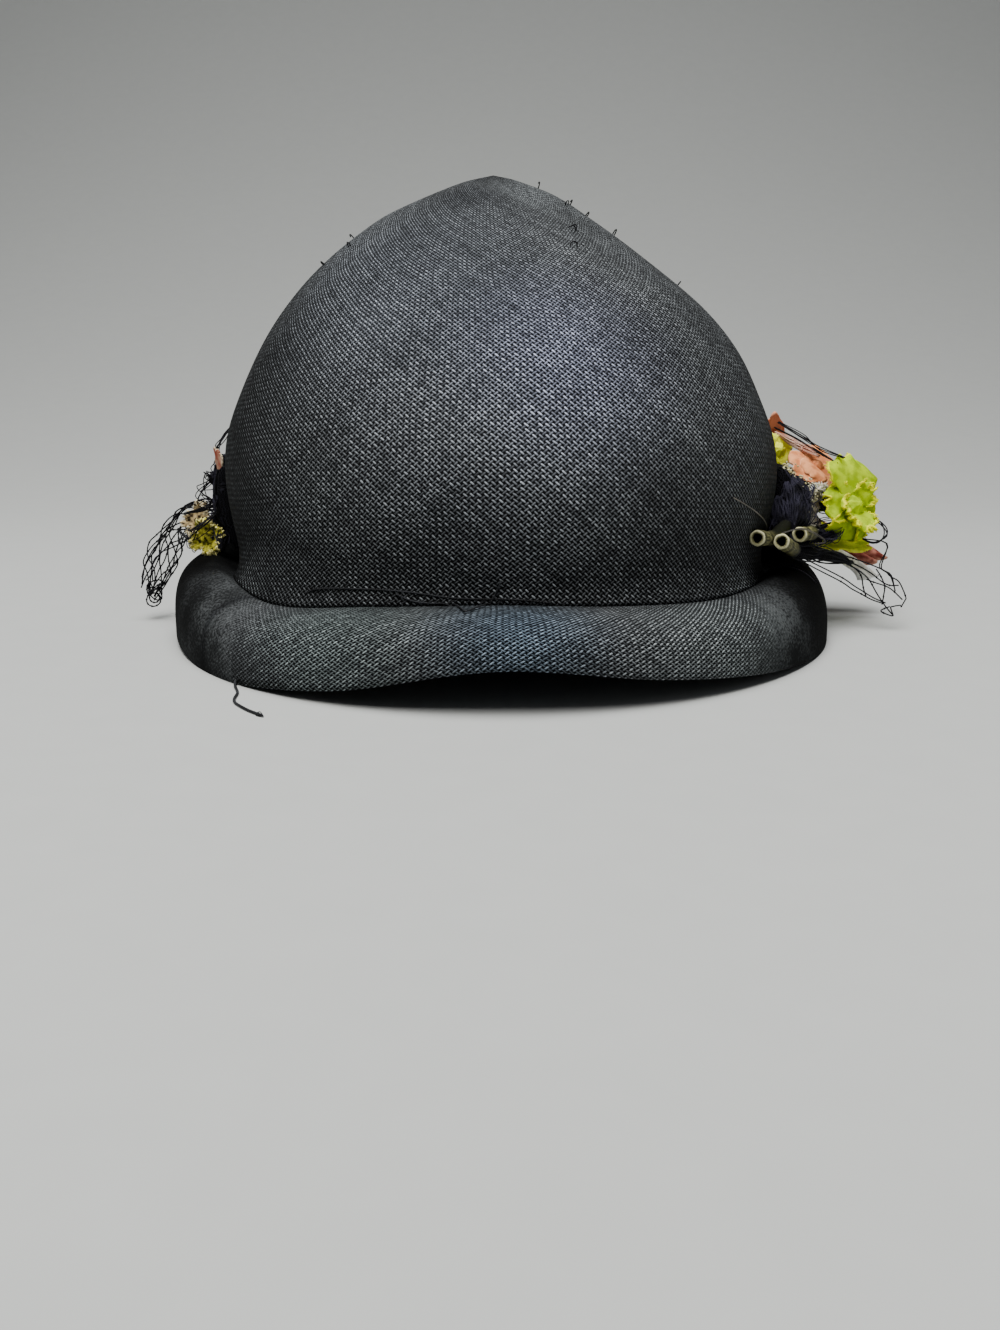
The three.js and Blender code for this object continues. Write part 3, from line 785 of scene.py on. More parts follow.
# Rows of a slot or a piece's name, then the finish's name, base, painted fold shade and edge, relief and
# blotch
CLOTHS = (
    (Slot.LIME, "lime_petals", (0.48, 0.66, 0.0), (0.28, 0.42, 0.0), (0.88, 0.9, 0.01)),
    (Slot.CORAL, "coral_petals", (0.86, 0.37, 0.17), (0.6, 0.2, 0.08), (0.9, 0.48, 0.28), 0.05),
    (Slot.YELLOW, "yellow_petals", (0.93, 0.97, 0.07), (0.68, 0.74, 0.03), (0.95, 0.95, 0.22)),
    (Slot.CREAM, "cream_petals", (0.62, 0.56, 0.46), (0.3, 0.24, 0.2), (0.82, 0.78, 0.66)),
    (Slot.PINK, "pink_petals", (0.4, 0.15, 0.11), (0.13, 0.025, 0.02), (0.5, 0.24, 0.17), 0.05),
    # the leaf: lime cloth made brighter, painted light on a leaf that lies in the flower's shade
    ("lime_leaf", "leaf_cloth", (0.95, 1.0, 0.09), (0.62, 0.72, 0.05), (0.9, 0.92, 0.06)),
    ("pale_petal", "pale_cloth", (0.86, 0.85, 0.8), (0.6, 0.57, 0.53), (0.92, 0.91, 0.88)),
    ("coral_bud", "coral_bud_cloth", (0.7, 0.22, 0.11), (0.46, 0.1, 0.05), (0.82, 0.36, 0.22), 0.05),
    ("left_bud", "bud_cloth", (0.5, 0.32, 0.22), (0.36, 0.08, 0.05), (0.6, 0.5, 0.36)),
    # the left florets: the yellow and cream cloth made darker, with near-black blotches of painted shade
    ("left_floret_1", "left_cloth", (0.5, 0.46, 0.05), (0.008, 0.008, 0.002), (0.85, 0.78, 0.3), 0.12, 620.0),
    ("left_floret_2", "left_pale", (0.6, 0.46, 0.24), (0.02, 0.012, 0.006), (0.88, 0.8, 0.56), 0.12, 620.0),
)


# Rows of a patch's middle and reach, and the factor of the colour there: tints, painted light and painted
# shade
CROWN_PAINTED_LIGHT_AND_TINTS = (
    # painted highlight over the upper back of the crown, some rows with a blue tint of the dye
    ((-30, -62, 106), 60, (1.35, 1.38, 1.5)), ((2, -90, 74), 60, (1.7, 1.7, 1.8)),
    ((20, -84, 84), 42, (1.25, 1.25, 1.5)), ((34, -52, 108), 52, (1.25, 1.25, 1.25)),
    # painted highlight and painted shade at the dents by the tip
    ((9, -18, 127), 20, (1.8, 1.82, 1.8)), ((-9, -25, 124), 17, (0.6, 0.6, 0.62)),
    # painted shadow under the stems, and painted shade in the gap by the band's left end
    ((80, -38, 24), 33, (0.03, 0.03, 0.035)), ((-81, -18, 24), 15, (0.05, 0.05, 0.06)),
    # painted light on the foot at both sides of the back, against the shade of its crease with the brim
    ((-67, -51, 18.5), 17, (2.6, 2.65, 2.6)), ((64, -55, 19.5), 15, (1.9, 1.95, 1.9)),
)

BRIM_FADE_AND_PAINTED_SHADOW = (
    # faded, paler tints in the middle and at both sides, then painted shadow under the trim at both ends
    ((4, -111, 20), 30, (0.8, 1.0, 1.22)), ((-42, -102, 18), 36, (1.35, 1.5, 1.42)),
    ((58, -92, 16), 36, (1.4, 1.45, 1.4)), ((86, -40, 20), 42, (0.03, 0.03, 0.035)),
    ((-90, -22, 19), 34, (0.05, 0.05, 0.055)), ((92, -36, 15), 30, (0.04, 0.04, 0.045)),
)


class Finishes:
    """All the hat's materials, made once."""

    def __init__(self) -> None:
        """Builds the shared groups and each material."""
        weave, cloth = weave_group(), cloth_group()
        self.crown = StrawFinish("crown_straw", painted_light_and_tints=CROWN_PAINTED_LIGHT_AND_TINTS, fuzzy_from=300.0).material(weave)
        self.brim = StrawFinish(
            "brim_straw",
            gloss=0.05,
            relief=0.32,
            painted_light_and_tints=BRIM_FADE_AND_PAINTED_SHADOW,
            fuzzy_from=56.0,
            # painted shade at the brim's two ends and low down near its edge
            side_shade=(0.0, 60.0, 98.0, 0.13),
            foot=(-8.0, 0.0, 8.0, 0.8),
        ).material(weave)
        self.net = GatherFinish("gathered_net", (0.001, 0.001, 0.0015), (0.018, 0.018, 0.026)).material()
        self.strand = ThreadFinish("net_strand", (0.002, 0.002, 0.003), (0.012, 0.012, 0.016)).material()
        self.fibre = ThreadFinish("gathered_fibre", (0.0006, 0.0006, 0.001), (0.045, 0.043, 0.07)).material()
        self.thread = ThreadFinish(
            "sewing_thread", (0.003, 0.0035, 0.005), (0.025, 0.027, 0.032), gloss=0.3,
        ).material()
        self.whisker = ThreadFinish(
            "dry_fibre", (0.05, 0.045, 0.038), (0.2, 0.18, 0.15), 0.35, gloss=0.4,
        ).material()
        self.fleck = ThreadFinish("cream_fleck", (0.45, 0.4, 0.18), (0.85, 0.82, 0.6)).material()
        self.pale = ThreadFinish("pale_veil", (0.6, 0.3, 0.22), (0.78, 0.66, 0.55)).material()
        self.stem = StemFinish(
            "cut_stem", (0.2, 0.19, 0.08), (0.008, 0.009, 0.004), (0.62, 0.6, 0.36),
        ).material()
        self.common = {key: ClothFinish(*row).material(cloth) for key, *row in CLOTHS}
        self.common |= {Slot.STEM: self.stem, Slot.NET: self.strand}

    def of(self, piece: str, slot: Slot) -> Material:
        """A piece's own finish, or else its slot's."""
        return self.common.get(piece, self.common[slot])


# Straw body


STRAW_WALL = 1.6
GAP = 0.3
SEAM_HEIGHT = 23.3
DEEPEST_DROP = 23.0
CROWN_CELL = (1.78, 1.4)
BRIM_CELL = (1.5, 1.08)


def flat_vectors(x: Array, y: Array) -> Array:
    """Level vectors from their two parts."""
    return np.stack([x, y, 0 * x], axis=-1)


def ring_turns(columns: int) -> Array:
    """Azimuths of a ring's columns in radians, from the front all the way round."""
    return np.pi / 2 + 2 * np.pi * np.arange(columns) / columns


def slanting_pairs(reach: Array, way: Array, cell: tuple[float, float]) -> Array:
    """UV pairs of a closed ring grid, in strands that slant both ways across its rows.

    Args:
        reach: Radius that sets the spacing of the cells round each row.
        way: Rows by columns of the distance along the straw from the tip.
        cell: Distance round and along from one crossing to the next of its kind.

    Returns:
        UV pairs at the quads' corners.
    """
    way = np.concatenate([way, way[:, :1]], axis=1) / cell[1]
    round_ = reach * np.linspace(-np.pi, np.pi, way.shape[1]) / cell[0]
    return corner_uv(np.stack([round_ + way, round_ - way], axis=-1))


# Rows of drop, reach, squareness, sink and swell by the seam, at equal steps from the back towards +X
BRIM_SECTIONS = (
    (12.2, 23.5, 2.8, 1, 0), (16.7, 22.6, 3, 2.4, 0.2), (20.9, 21.5, 3.2, 4.2, 0.8),
    (23, 21.5, 2.9, 4.4, 3.6), (19.5, 21.5, 2.9, 4.2, 4.2), (17.2, 21.4, 3.2, 3.4, 3.4),
    (19.2, 21.8, 3.2, 2, 2), (22.4, 22, 3, 0.8, 0.8), (23.2, 22, 3, 0, 0),
    (22.4, 22, 3, 0.8, 0.8), (19.2, 21.8, 3.2, 2, 2), (17.2, 21.2, 3.5, 3.4, 3.4),
    (18.4, 20.4, 3.9, 4.2, 4.2), (21.2, 20.6, 3.8, 5, 4.2), (23, 21.5, 3.2, 6, 1),
    (19.4, 22.6, 3, 2.6, 0.2),
)


@dataclass
class Brim:
    """The turned-down brim: a quarter of a superellipse all round, which sinks and swells by the seam."""

    sections: Array = field(default_factory=lambda: np.array(BRIM_SECTIONS))
    half_width: float = 79.5
    half_length: float = 92.5
    swell_reach: float = 9.0
    columns: int = 480
    upper_rows: int = 60
    lower_rows: int = 26
    row_power: float = 1.2
    joins: tuple[tuple[float, float], ...] = ((-140.5, 0.7), (-45.3, 0.4))

    def levels(self, azimuth: Array) -> Array:
        """The table's five sizes at azimuths in radians, the sizes first."""
        return np.moveaxis(spline(self.sections, azimuth / (2 * np.pi) + 0.25, True), -1, 0)

    def share_at(self, azimuth: Array, out: Array) -> Array:
        """Share of the way from the seam to the edge that lies at a distance out from the seam."""
        reach, square = self.levels(azimuth)[1:3]
        return (2 / np.pi) * np.arcsin(np.clip(out / reach, 0.0, 1.0) ** (square / 2))

    def outwards(self, azimuth: Array) -> Array:
        """Level directions square to the head opening's ellipse."""
        return unit(flat_vectors(np.cos(azimuth) / self.half_width, np.sin(azimuth) / self.half_length))

    def face(self, azimuth: Array, share: Array) -> Array:
        """Upper face: a quarter superellipse, out by reach and down by drop, that starts sunk and swells up.

        Args:
            azimuth: Radians from +X through +Y.
            share: Shares of the way from the seam to the edge.

        Returns:
            The points.
        """
        azimuth, share = np.broadcast_arrays(azimuth, share)
        drop, reach, square, sink, swell = self.levels(azimuth)
        turn = share * np.pi / 2
        out = reach * np.sin(turn) ** (2 / square)
        curl = 1 - np.abs(np.cos(turn)) ** (2 / square)
        fall = sink - swell * smooth(out, 0.0, self.swell_reach)
        fall = fall + (np.minimum(drop, DEEPEST_DROP) - sink + swell) * curl
        foot = flat_vectors(self.half_width * np.cos(azimuth), self.half_length * np.sin(azimuth))
        down = np.stack([0 * fall, 0 * fall, SEAM_HEIGHT - GAP - fall], axis=-1)
        return foot + self.outwards(azimuth) * out[..., None] + down

    def offset(self, azimuth: Array, share: Array, inward: Array) -> Array:
        """Points at a distance inward from the upper face, along its normal in the section's own plane.

        Args:
            azimuth: Radians from +X through +Y.
            share: Shares of the way from the seam to the edge.
            inward: Distances under the face, or over it if below zero.

        Returns:
            The points.
        """
        azimuth, share = np.broadcast_arrays(azimuth, share)
        step = 1e-3
        early, late = np.maximum(share - step, 0.0), np.minimum(share + step, 1.0)
        run = self.face(azimuth, late) - self.face(azimuth, early)
        slope = np.arctan2(-run[..., 2], np.hypot(run[..., 0], run[..., 1]))
        normal = self.outwards(azimuth) * np.sin(slope)[..., None]
        normal[..., 2] += np.cos(slope)
        return self.face(azimuth, share) - normal * np.asarray(inward)[..., None]

    def build(self) -> Surface:
        """Closed wall: up the inner face from the edge to the seam, then out over the upper face to the edge.

        Returns:
            The closed surface.
        """
        turn = ring_turns(self.columns)
        under = np.linspace(1.0, 0.0, self.lower_rows) ** self.row_power
        over = np.linspace(0.0, 1.0, self.upper_rows) ** self.row_power
        lower = self.offset(turn[None, :], under[:, None], np.full((self.lower_rows, 1), STRAW_WALL))
        upper = self.offset(turn[None, :], over[:, None], np.zeros((self.upper_rows, 1)))
        inwards = -unit(upper[0] * (1, 1, 0)) * STRAW_WALL
        tucked = np.stack([lower[-1] + inwards, upper[0] + inwards])
        grid = np.concatenate([lower, tucked, upper, lower[:1]])[::-1]
        climb = np.linalg.norm(np.diff(grid, axis=0), axis=-1)
        way = np.concatenate([np.zeros((1, self.columns)), climb.cumsum(axis=0)])
        quads = grid_quads(len(grid) - 1, self.columns, True, True)
        places, depths = np.radians(np.array(self.joins)).T[0], np.array(self.joins)[:, 1]
        away = np.angle(np.exp(1j * (turn[:, None] - places))) * self.half_length / 1.3
        join = (np.exp(-(away**2)) * depths).sum(axis=-1)
        rim = np.broadcast_to(join, (len(grid) - 1, self.columns)).ravel()
        pairs = slanting_pairs(np.full((1, 1), self.half_length), way, BRIM_CELL)
        return Surface(grid[:-1].reshape(-1, 3), quads, pairs=pairs, rim=rim)

    def dress(self, finishes: Finishes) -> None:
        """Puts the woven brim in place of its solid."""
        self.build().piece("brim_weave", finishes.brim, Slot.STRAW, "brim")


# Rows of rise, half width, half length, lean to +X
CROWN_SECTIONS = (
    (0, 79.5, 92.5, 0), (12, 82.4, 95.8, 0.2), (24, 83.6, 97.2, 0.3), (36, 82.2, 95.6, 0.2),
    (48, 77.8, 90.4, -0.2), (60, 71.4, 82.6, -0.7), (72, 62.2, 71.4, -1.6),
    (83, 50.8, 57.8, -3.2), (93, 37.4, 42, -4), (102, 22.4, 24.6, -3.8),
    (108, 9.6, 10, -3), (110.5, 0, 0, -2),
)


# Rows of x, y, radius, sink
CROWN_DENTS = (
    (-19, 0, 8, 1.4), (-36, -4, 9, -1), (-4, -9, 5, 1), (2, -16, 5.5, 1.3),
    (8, -23, 6, 0.9), (15, -12, 9, -1),
)


@dataclass
class Crown:
    """The pointed crown: level ellipses, dented near the tip and sunk at the foot with the seam."""

    brim: Brim
    sections: Array = field(default_factory=lambda: np.array(CROWN_SECTIONS))
    dents: Array = field(default_factory=lambda: np.array(CROWN_DENTS))
    foot_rise: float = 8.0
    mean_reach: float = 90.0
    columns: int = 360
    outer_rows: int = 170
    inner_rows: int = 44
    unevenness: float = 0.45
    flare: float = 1.0
    side_flare: float = 0.75
    flare_rise: float = 3.0

    def face(self, azimuth: Array, share: Array) -> Array:
        """Outer face: an ellipse at each share of the height, sunk by dents near the tip and by the seam.

        Args:
            azimuth: Radians from +X through +Y.
            share: Shares of the way from the seam to the tip.

        Returns:
            The points.
        """
        azimuth, share = np.broadcast_arrays(azimuth, share)
        rise, wide, long, lean = np.moveaxis(spline(self.sections, share), -1, 0)
        x, y = wide * np.cos(azimuth) + lean, long * np.sin(azimuth)
        dent_x, dent_y, radius, depth = self.dents.T
        away = ((x[..., None] - dent_x) ** 2 + (y[..., None] - dent_y) ** 2) / radius**2
        sink = (depth * np.exp(-away)).sum(axis=-1) * smooth(share, 0.6, 0.8)
        drawn = self.brim.levels(azimuth)[3] * (1 - smooth(rise, 0.0, self.foot_rise))
        return np.stack([x, y, SEAM_HEIGHT + rise - sink - drawn], axis=-1)

    def share_at(self, rise: Array) -> Array:
        """Share of the height that has a given rise above the seam."""
        share = np.linspace(0.0, 1.0, 400)
        return np.interp(rise, spline(self.sections, share)[:, 0], share)

    def offset(self, azimuth: Array, share: Array, outward: Array) -> Array:
        """Points at a distance outward from the face, along its normal from two short steps.

        Args:
            azimuth: Radians from +X through +Y.
            share: Shares of the way from the seam to the tip.
            outward: Distances outside the face, or inside it if below zero.

        Returns:
            The points.
        """
        step = 1e-3
        here = self.face(azimuth, share)
        level = self.face(azimuth + step, share) - here
        climb = self.face(azimuth, share + step) - here
        return here + unit(np.cross(level, climb)) * np.asarray(outward)[..., None]

    def flared(self, azimuth: Array, rise: Array) -> Array:
        """How far the foot turns out onto the brim, falling off by the square of the way up.

        It is wider at the back's two sides, where the seam is sunk and the straw runs on in a bend.

        Args:
            azimuth: Radians from +X through +Y.
            rise: Rise above the seam.

        Returns:
            Distances outward.
        """
        bend = self.brim.levels(azimuth)[3] * smooth(-np.sin(azimuth), 0.12, 0.5)
        reach = self.flare_rise + 1.1 * bend
        return (self.flare + self.side_flare * bend) * np.clip(1 - rise / reach, 0.0, 1.0) ** 2

    def row_shares(self, count: int) -> Array:
        """Shares of the height of a grid's rows, closer near the tip."""
        return np.linspace(0.0, 1.0, count + 1)[:-1] ** 0.96

    def rows(self, count: int, outward: float) -> Array:
        """A grid of the face without its tip, moved outward, with the slight unevenness of hand blocking.

        Args:
            count: How many rows.
            outward: Distance outside the face, or inside it if below zero.

        Returns:
            Rows by columns of points.
        """
        azimuth, level = np.meshgrid(ring_turns(self.columns), self.row_shares(count))
        waves = np.sin(5 * azimuth + 9 * level) * np.sin(14 * level) + np.sin(11 * azimuth - 17 * level)
        uneven = self.unevenness * waves * 0.5 * np.sin(np.pi * level)
        return self.offset(azimuth, level, outward + uneven)

    def woven(self, grid: Array) -> tuple[Array, Array]:
        """Weave of a face: cells that narrow slowly towards the tip, and the way down from it.

        Args:
            grid: Rows by columns of points, from the foot up.

        Returns:
            The reach of each row's cells, and rows by columns of the way.
        """
        tip = np.broadcast_to(self.face(np.zeros(1), np.ones(1)), grid[-1:].shape)
        climb = np.linalg.norm(np.diff(np.concatenate([grid, tip]), axis=0), axis=-1)
        reach = np.linalg.norm(grid[..., :2], axis=-1).mean(axis=1, keepdims=True)
        return reach**0.3 * self.mean_reach**0.7, climb[::-1].cumsum(axis=0)[::-1]

    def build(self) -> Surface:
        """Closed wall: the inner face from its tip down, then the outer face up, flared at its foot.

        Returns:
            The closed surface.
        """
        inner, outer = self.rows(self.inner_rows, -STRAW_WALL), self.rows(self.outer_rows, 0.0)
        rise = spline(self.sections, self.row_shares(self.outer_rows))[:, 0]
        turn = ring_turns(self.columns)
        out = self.flared(turn, rise[:, None])
        landed = self.brim.face(turn, self.brim.share_at(turn, out))
        follow = (landed - self.brim.face(turn, 0 * out))[..., 2]
        outer += out[..., None] * self.brim.outwards(turn) + follow[..., None] * (0.0, 0.0, 1.0)
        outer[0, :, 2] -= 0.8 * GAP
        grid = np.concatenate([inner[::-1], outer])
        faces = zip(self.woven(inner), self.woven(outer))
        reach, way = (np.concatenate([within[::-1], without]) for within, without in faces)
        top = self.face(np.zeros(1), np.ones(1))
        points = np.concatenate([grid.reshape(-1, 3), top - (0, 0, STRAW_WALL), top])
        place = np.arange(self.columns)
        last = grid.shape[0] * self.columns
        caps = [fans([last], place[None, ::-1]), fans([last + 1], last - self.columns + place[None])]
        quads = grid_quads(grid.shape[0], self.columns, True)
        return Surface(points, quads, np.concatenate(caps), slanting_pairs(reach, way, CROWN_CELL))

    def dress(self, finishes: Finishes) -> None:
        """Puts the woven crown in place of its solid."""
        self.build().piece("crown_weave", finishes.crown, Slot.STRAW, "crown")


# Net and trim


@dataclass
class NetBand:
    """The roll of gathered net round the front of the crown, and the places on it where the trim is sewn."""

    crown: Crown
    start: float = -9.0
    end: float = 189.0
    foot: float = 1.2
    lift: float = 0.6
    top: float = 26.0
    edge: float = 1.2
    fullness: tuple[float, ...] = (13.0, 7.0, 6.0, 6.0, 4.5)
    gathers: int = 15
    gather_depth: float = 0.28
    slant: float = 0.6
    fine_folds: int = 118
    fine_depth: float = 0.5
    laid_open: tuple[float, float] = (330.0, 30.0)
    fibre_radius: float = 0.13
    fleck_radius: float = 0.26
    steps_along: int = 640
    steps_up: int = 34

    def depth(self, u: Array, v: Array) -> Array:
        """Thickness: a swell over the height, blunt at the ends, with slanting gathers.

        Args:
            u: Shares along the band.
            v: Shares up the band.

        Returns:
            The thickness at each place.
        """
        blunt = np.clip(np.minimum(1.0, 10.0 * np.minimum(u, 1 - u) + 0.35), 0.0, 1.0)
        swell = np.maximum(np.sin(np.pi * v), 0.0) ** 0.6 * blunt
        gather = 1 + self.gather_depth * np.sin(2 * np.pi * (self.gathers * u + self.slant * v))
        full = spline(np.array(self.fullness)[:, None], u)[..., 0]
        return self.edge + full * swell * gather

    def foot_at(self, azimuth: Array) -> Array:
        """Rise of the band's foot, which lies higher where the seam is sunk."""
        return self.foot + self.lift * self.crown.brim.levels(azimuth)[3]

    def seat(self, azimuth: float, rise: float, lift: float = 0.0) -> Array:
        """A point of the band's outer face, by azimuth in degrees and rise above the seam.

        Args:
            azimuth: Degrees from +X through +Y.
            rise: Rise above the seam.
            lift: Distance outside the net.

        Returns:
            The point.
        """
        u = np.array((azimuth - self.start) / (self.end - self.start))
        turn = np.radians(np.array(azimuth))
        foot = self.foot_at(turn)
        v = (rise - foot) / (self.top - foot)
        outward = GAP + self.depth(u, v) + lift
        return self.crown.offset(turn, self.crown.share_at(np.array(rise)), outward)

    def face(self, u: Array, v: Array, outward: Array) -> Array:
        """Points at a distance outward from the crown behind the band.

        Args:
            u: Shares along the band.
            v: Shares up the band.
            outward: Distances outside the crown.

        Returns:
            The points.
        """
        azimuth = np.radians(self.start + (self.end - self.start) * u)
        foot = self.foot_at(azimuth)
        share = self.crown.share_at(foot + (self.top - foot) * v)
        return self.crown.offset(azimuth, share, outward)

    def build(self) -> Surface:
        """Closed roll: the outer face with fine folds, and the inner face against the crown.

        Returns:
            The closed surface.
        """
        u, v = np.meshgrid(np.linspace(0, 1, self.steps_along), np.linspace(0, 1, self.steps_up))
        phase = self.fine_folds * u + 2.2 * v + 0.7 * np.sin(9 * np.pi * u) + 0.35 * np.sin(31 * u + 5 * v)
        crease = np.abs(np.sin(np.pi * phase)) - 0.6
        fine = self.fine_depth * smooth(np.minimum(u, 1 - u), 0.0, 0.12)
        thick = self.depth(u, v) + fine * crease * np.sin(np.pi * v) ** 0.5
        outer = self.face(u, v, GAP + np.maximum(thick, 0.4))
        inner = self.face(u, v, np.full_like(u, GAP))
        length, width = self.laid_open
        behind = u * length + np.where(u < 0.5, -1.0, 1.0) * thick
        pairs = [np.stack([run, v * width], axis=-1) for run in (u * length, behind)]
        return closed_wall(outer, inner, pairs)

    def veil(self, meshes: int = 34, radius: float = 0.22) -> Surface:
        """Loose top layer of the net: two families of slanting strands that lie on the roll.

        Args:
            meshes: Strands in each family.
            radius: The strands' radius.

        Returns:
            The closed surface.
        """
        share = np.linspace(0.0, 1.0, 26)
        start = np.linspace(-0.06, 1.0, meshes)[:, None]
        families = []
        for lean in (0.09, -0.09):
            u = start + (0.0 if lean > 0 else 0.09) + lean * share + 0.004 * np.sin(40 * start + 9 * share)
            v = 0.04 + 0.92 * share + 0 * start
            inside = np.clip(u, 0.004, 0.996)
            lift = 0.45 + 0.35 * np.sin(13 * share + 50 * start) ** 2
            families.append(self.face(inside, v, GAP + self.depth(inside, v) + lift))
        return strands(np.concatenate(families), radius, 4)

    def fibres(self, first: float, last: float, lean: float, count: int, seed: int) -> Surface:
        """Fine fibres of the crushed net, which climb the roll's face and lean along it.

        Args:
            first: Share along the band where they start to stand.
            last: Share where they stop.
            lean: How far along the band each goes as it climbs.
            count: How many fibres.
            seed: Start of the random numbers.

        Returns:
            The fibres as strands.
        """
        rng = np.random.default_rng(seed)
        share, each = np.linspace(0, 1, 10), (count, 1)
        low, high = rng.uniform(0.03, 0.45, each), rng.uniform(0.55, 0.99, each)
        sway = rng.normal(0, 0.003, each) * np.sin(3 * np.pi * share)
        slope = lean * rng.normal(1.0, 0.6, each)
        u = np.clip(rng.uniform(first, last, each) + slope * share + sway, 0.001, 0.999)
        v = low + (high - low) * share
        lift = 0.1 + rng.uniform(0.0, 1.6, each) * np.sin(np.pi * share)
        return strands(self.face(u, v, GAP + self.depth(u, v) + lift), self.fibre_radius, 4)

    def flecks(self, count: int = 260) -> Surface:
        """Cream tips of frayed cloth that stand out of the net's right end, short and at random slants.

        Args:
            count: How many tips.

        Returns:
            The closed surface.
        """
        rng = np.random.default_rng(23)
        u, v = rng.uniform(0.012, 0.062, count), rng.uniform(0.55, 0.97, count)
        root = self.face(u, v, GAP + self.depth(u, v) + 0.1)
        away = unit(self.face(u, v, GAP + self.depth(u, v) + 1.0) - root + rng.normal(0, 0.55, (count, 3)))
        reach = rng.uniform(0.5, 1.7, (count, 1, 1))
        paths = root[:, None] + np.linspace(0, 1, 4)[:, None] * reach * away[:, None]
        return strands(paths, self.fleck_radius, 4)

    def dress(self, finishes: Finishes) -> None:
        """Puts the gathered net in place of its solid, with its loose top layer and crushed ends.

        Args:
            finishes: The hat's materials.
        """
        self.build().piece("net_gathers", finishes.net, Slot.NET, "net_band")
        self.veil().piece("net_veil", finishes.strand, Slot.NET)
        ends = [self.fibres(0.0, 0.06, 0.03, 700, 5), self.fibres(0.94, 1.0, -0.02, 420, 6)]
        Surface.joined(ends).piece("net_fibres", finishes.fibre, Slot.NET)
        self.flecks().piece("cloth_flecks", finishes.fleck, Slot.CREAM)


@dataclass(frozen=True)
class Petal:
    """One cloth petal that lies along +Y from its base before it is turned to its place."""

    length: float
    width: float
    rise: float = 0.0
    curl: float = 0.0
    cup: float = 0.0
    ruffle: float = 0.0
    waves: float = 2.0
    frill: float = 0.0
    roll: float = 0.0
    ragged: float = 0.03
    rounded: float = 0.12
    cloth: float = 0.7
    steps: int = 26

    def grid(self, phase: float) -> tuple[Array, Array, Array]:
        """The petal's middle surface.

        It runs along an arc that starts at rise and turns by curl. Its width bows out and in, its sides are
        cupped by the square of the share across, it waves towards its rounded tip, its edge rolls up by a
        high power of the distance from the middle, and small frills run round that edge.

        Args:
            phase: Shifts the frills, so that no two petals are alike.

        Returns:
            Points, UV pairs in millimetres and rim shares, each rows by columns.
        """
        u, v = np.meshgrid(np.linspace(0, 1, self.steps), np.linspace(0, 1, self.steps))
        across = 2 * u - 1
        start, bend = np.radians(self.rise), np.radians(self.curl) or 1e-3
        half = self.width / 2 * np.sin(np.pi * (0.06 + 0.82 * v)) ** 0.7
        half = half * (1 + self.ragged * np.sin(19 * v + phase) * np.sin(7 * v + 2 * phase))
        turned = start + bend * v
        along = self.length * (np.sin(turned) - np.sin(start)) / bend
        jagged = self.ragged * 1.5 * np.sin(9 * across + phase) * v**3
        along = along * (1 + jagged - self.rounded * across**2 * v**5)
        lift = self.length * (np.cos(start) - np.cos(turned)) / bend
        wave = self.ruffle * v * v * np.sin(np.pi * self.waves * across)
        side = np.abs(across) ** 6 * np.sin(2 * np.pi * 2.3 * v + phase) * smooth(v, 0.1, 0.4)
        tip = v**7 * np.sin(2 * np.pi * 1.6 * across + 1.7 * phase)
        rim = np.maximum(np.abs(across) ** 14 * smooth(v, 0.1, 0.35), v**16)
        height = lift + self.cup * across * across * v + wave + self.frill * (side + tip) + self.roll * rim
        points = np.stack([across * half, along, height], axis=-1)
        return points, np.stack([across * half, v * self.length], axis=-1), rim

    def fringe(self, points: Array, count: int, reach: float, rng: np.random.Generator) -> Array:
        """Frayed threads at the petal's edge: short strands that leave it outwards at random slants.

        Args:
            points: The petal's placed grid.
            count: How many threads.
            reach: Their usual length.
            rng: The piece's own random numbers.

        Returns:
            Paths of four points each.
        """
        border = np.concatenate([points[4:, 0], points[-1, 1:-1], points[4:, -1]])
        within = np.concatenate([points[4:, 2], points[-3, 1:-1], points[4:, -3]])
        place = rng.integers(0, len(border), count)
        out = unit(border[place] - within[place])
        slant = unit(out + rng.normal(0, 0.45, (count, 3)))
        length = reach * rng.uniform(0.4, 1.3, (count, 1))
        curl = rng.normal(0, 0.25, (count, 3)) * length
        run = np.linspace(-0.25, 1.0, 4)[:, None]
        return border[place, None] + run * (slant * length)[:, None] + run**2 * curl[:, None]


def frame_at(facing: Point) -> Array:
    """Rows of a frame whose third axis looks along facing and whose second one points upwards.

    Args:
        facing: The way that the third axis looks.

    Returns:
        Three rows of unit vectors.
    """
    ahead = unit(np.array(facing, float))
    right = unit(np.cross((0.0, 0.0, 1.0), ahead))
    return np.stack([right, np.cross(ahead, right), ahead])


def turned(points: Array, degrees: float) -> Array:
    """Points turned about +Z.

    Args:
        points: The points.
        degrees: The turn.

    Returns:
        The turned points.
    """
    angle = np.radians(degrees)
    cos, sin = np.cos(angle), np.sin(angle)
    return points @ np.array([(cos, sin, 0.0), (-sin, cos, 0.0), (0.0, 0.0, 1.0)])


@dataclass
class Trim:
    """A piece sewn to the band at its seat, and named after the solid that it takes the place of."""

    name: str
    slot: Slot
    seat: tuple[float, float]
    made_of: ClassVar[str] = "cloth"

    def random(self) -> np.random.Generator:
        """The piece's own random numbers, which start from its name."""
        return np.random.default_rng(sum(map(ord, self.name)))

    def build(self, band: NetBand) -> Surface:
        """All of the piece as one surface; each kind of piece has its own."""
        raise NotImplementedError

    def dress(self, band: NetBand, finishes: Finishes) -> None:
        """Puts the piece in place of its solid."""
        finish = finishes.of(self.name, self.slot)
        self.build(band).piece(f"{self.name}_{self.made_of}", finish, self.slot, self.name)


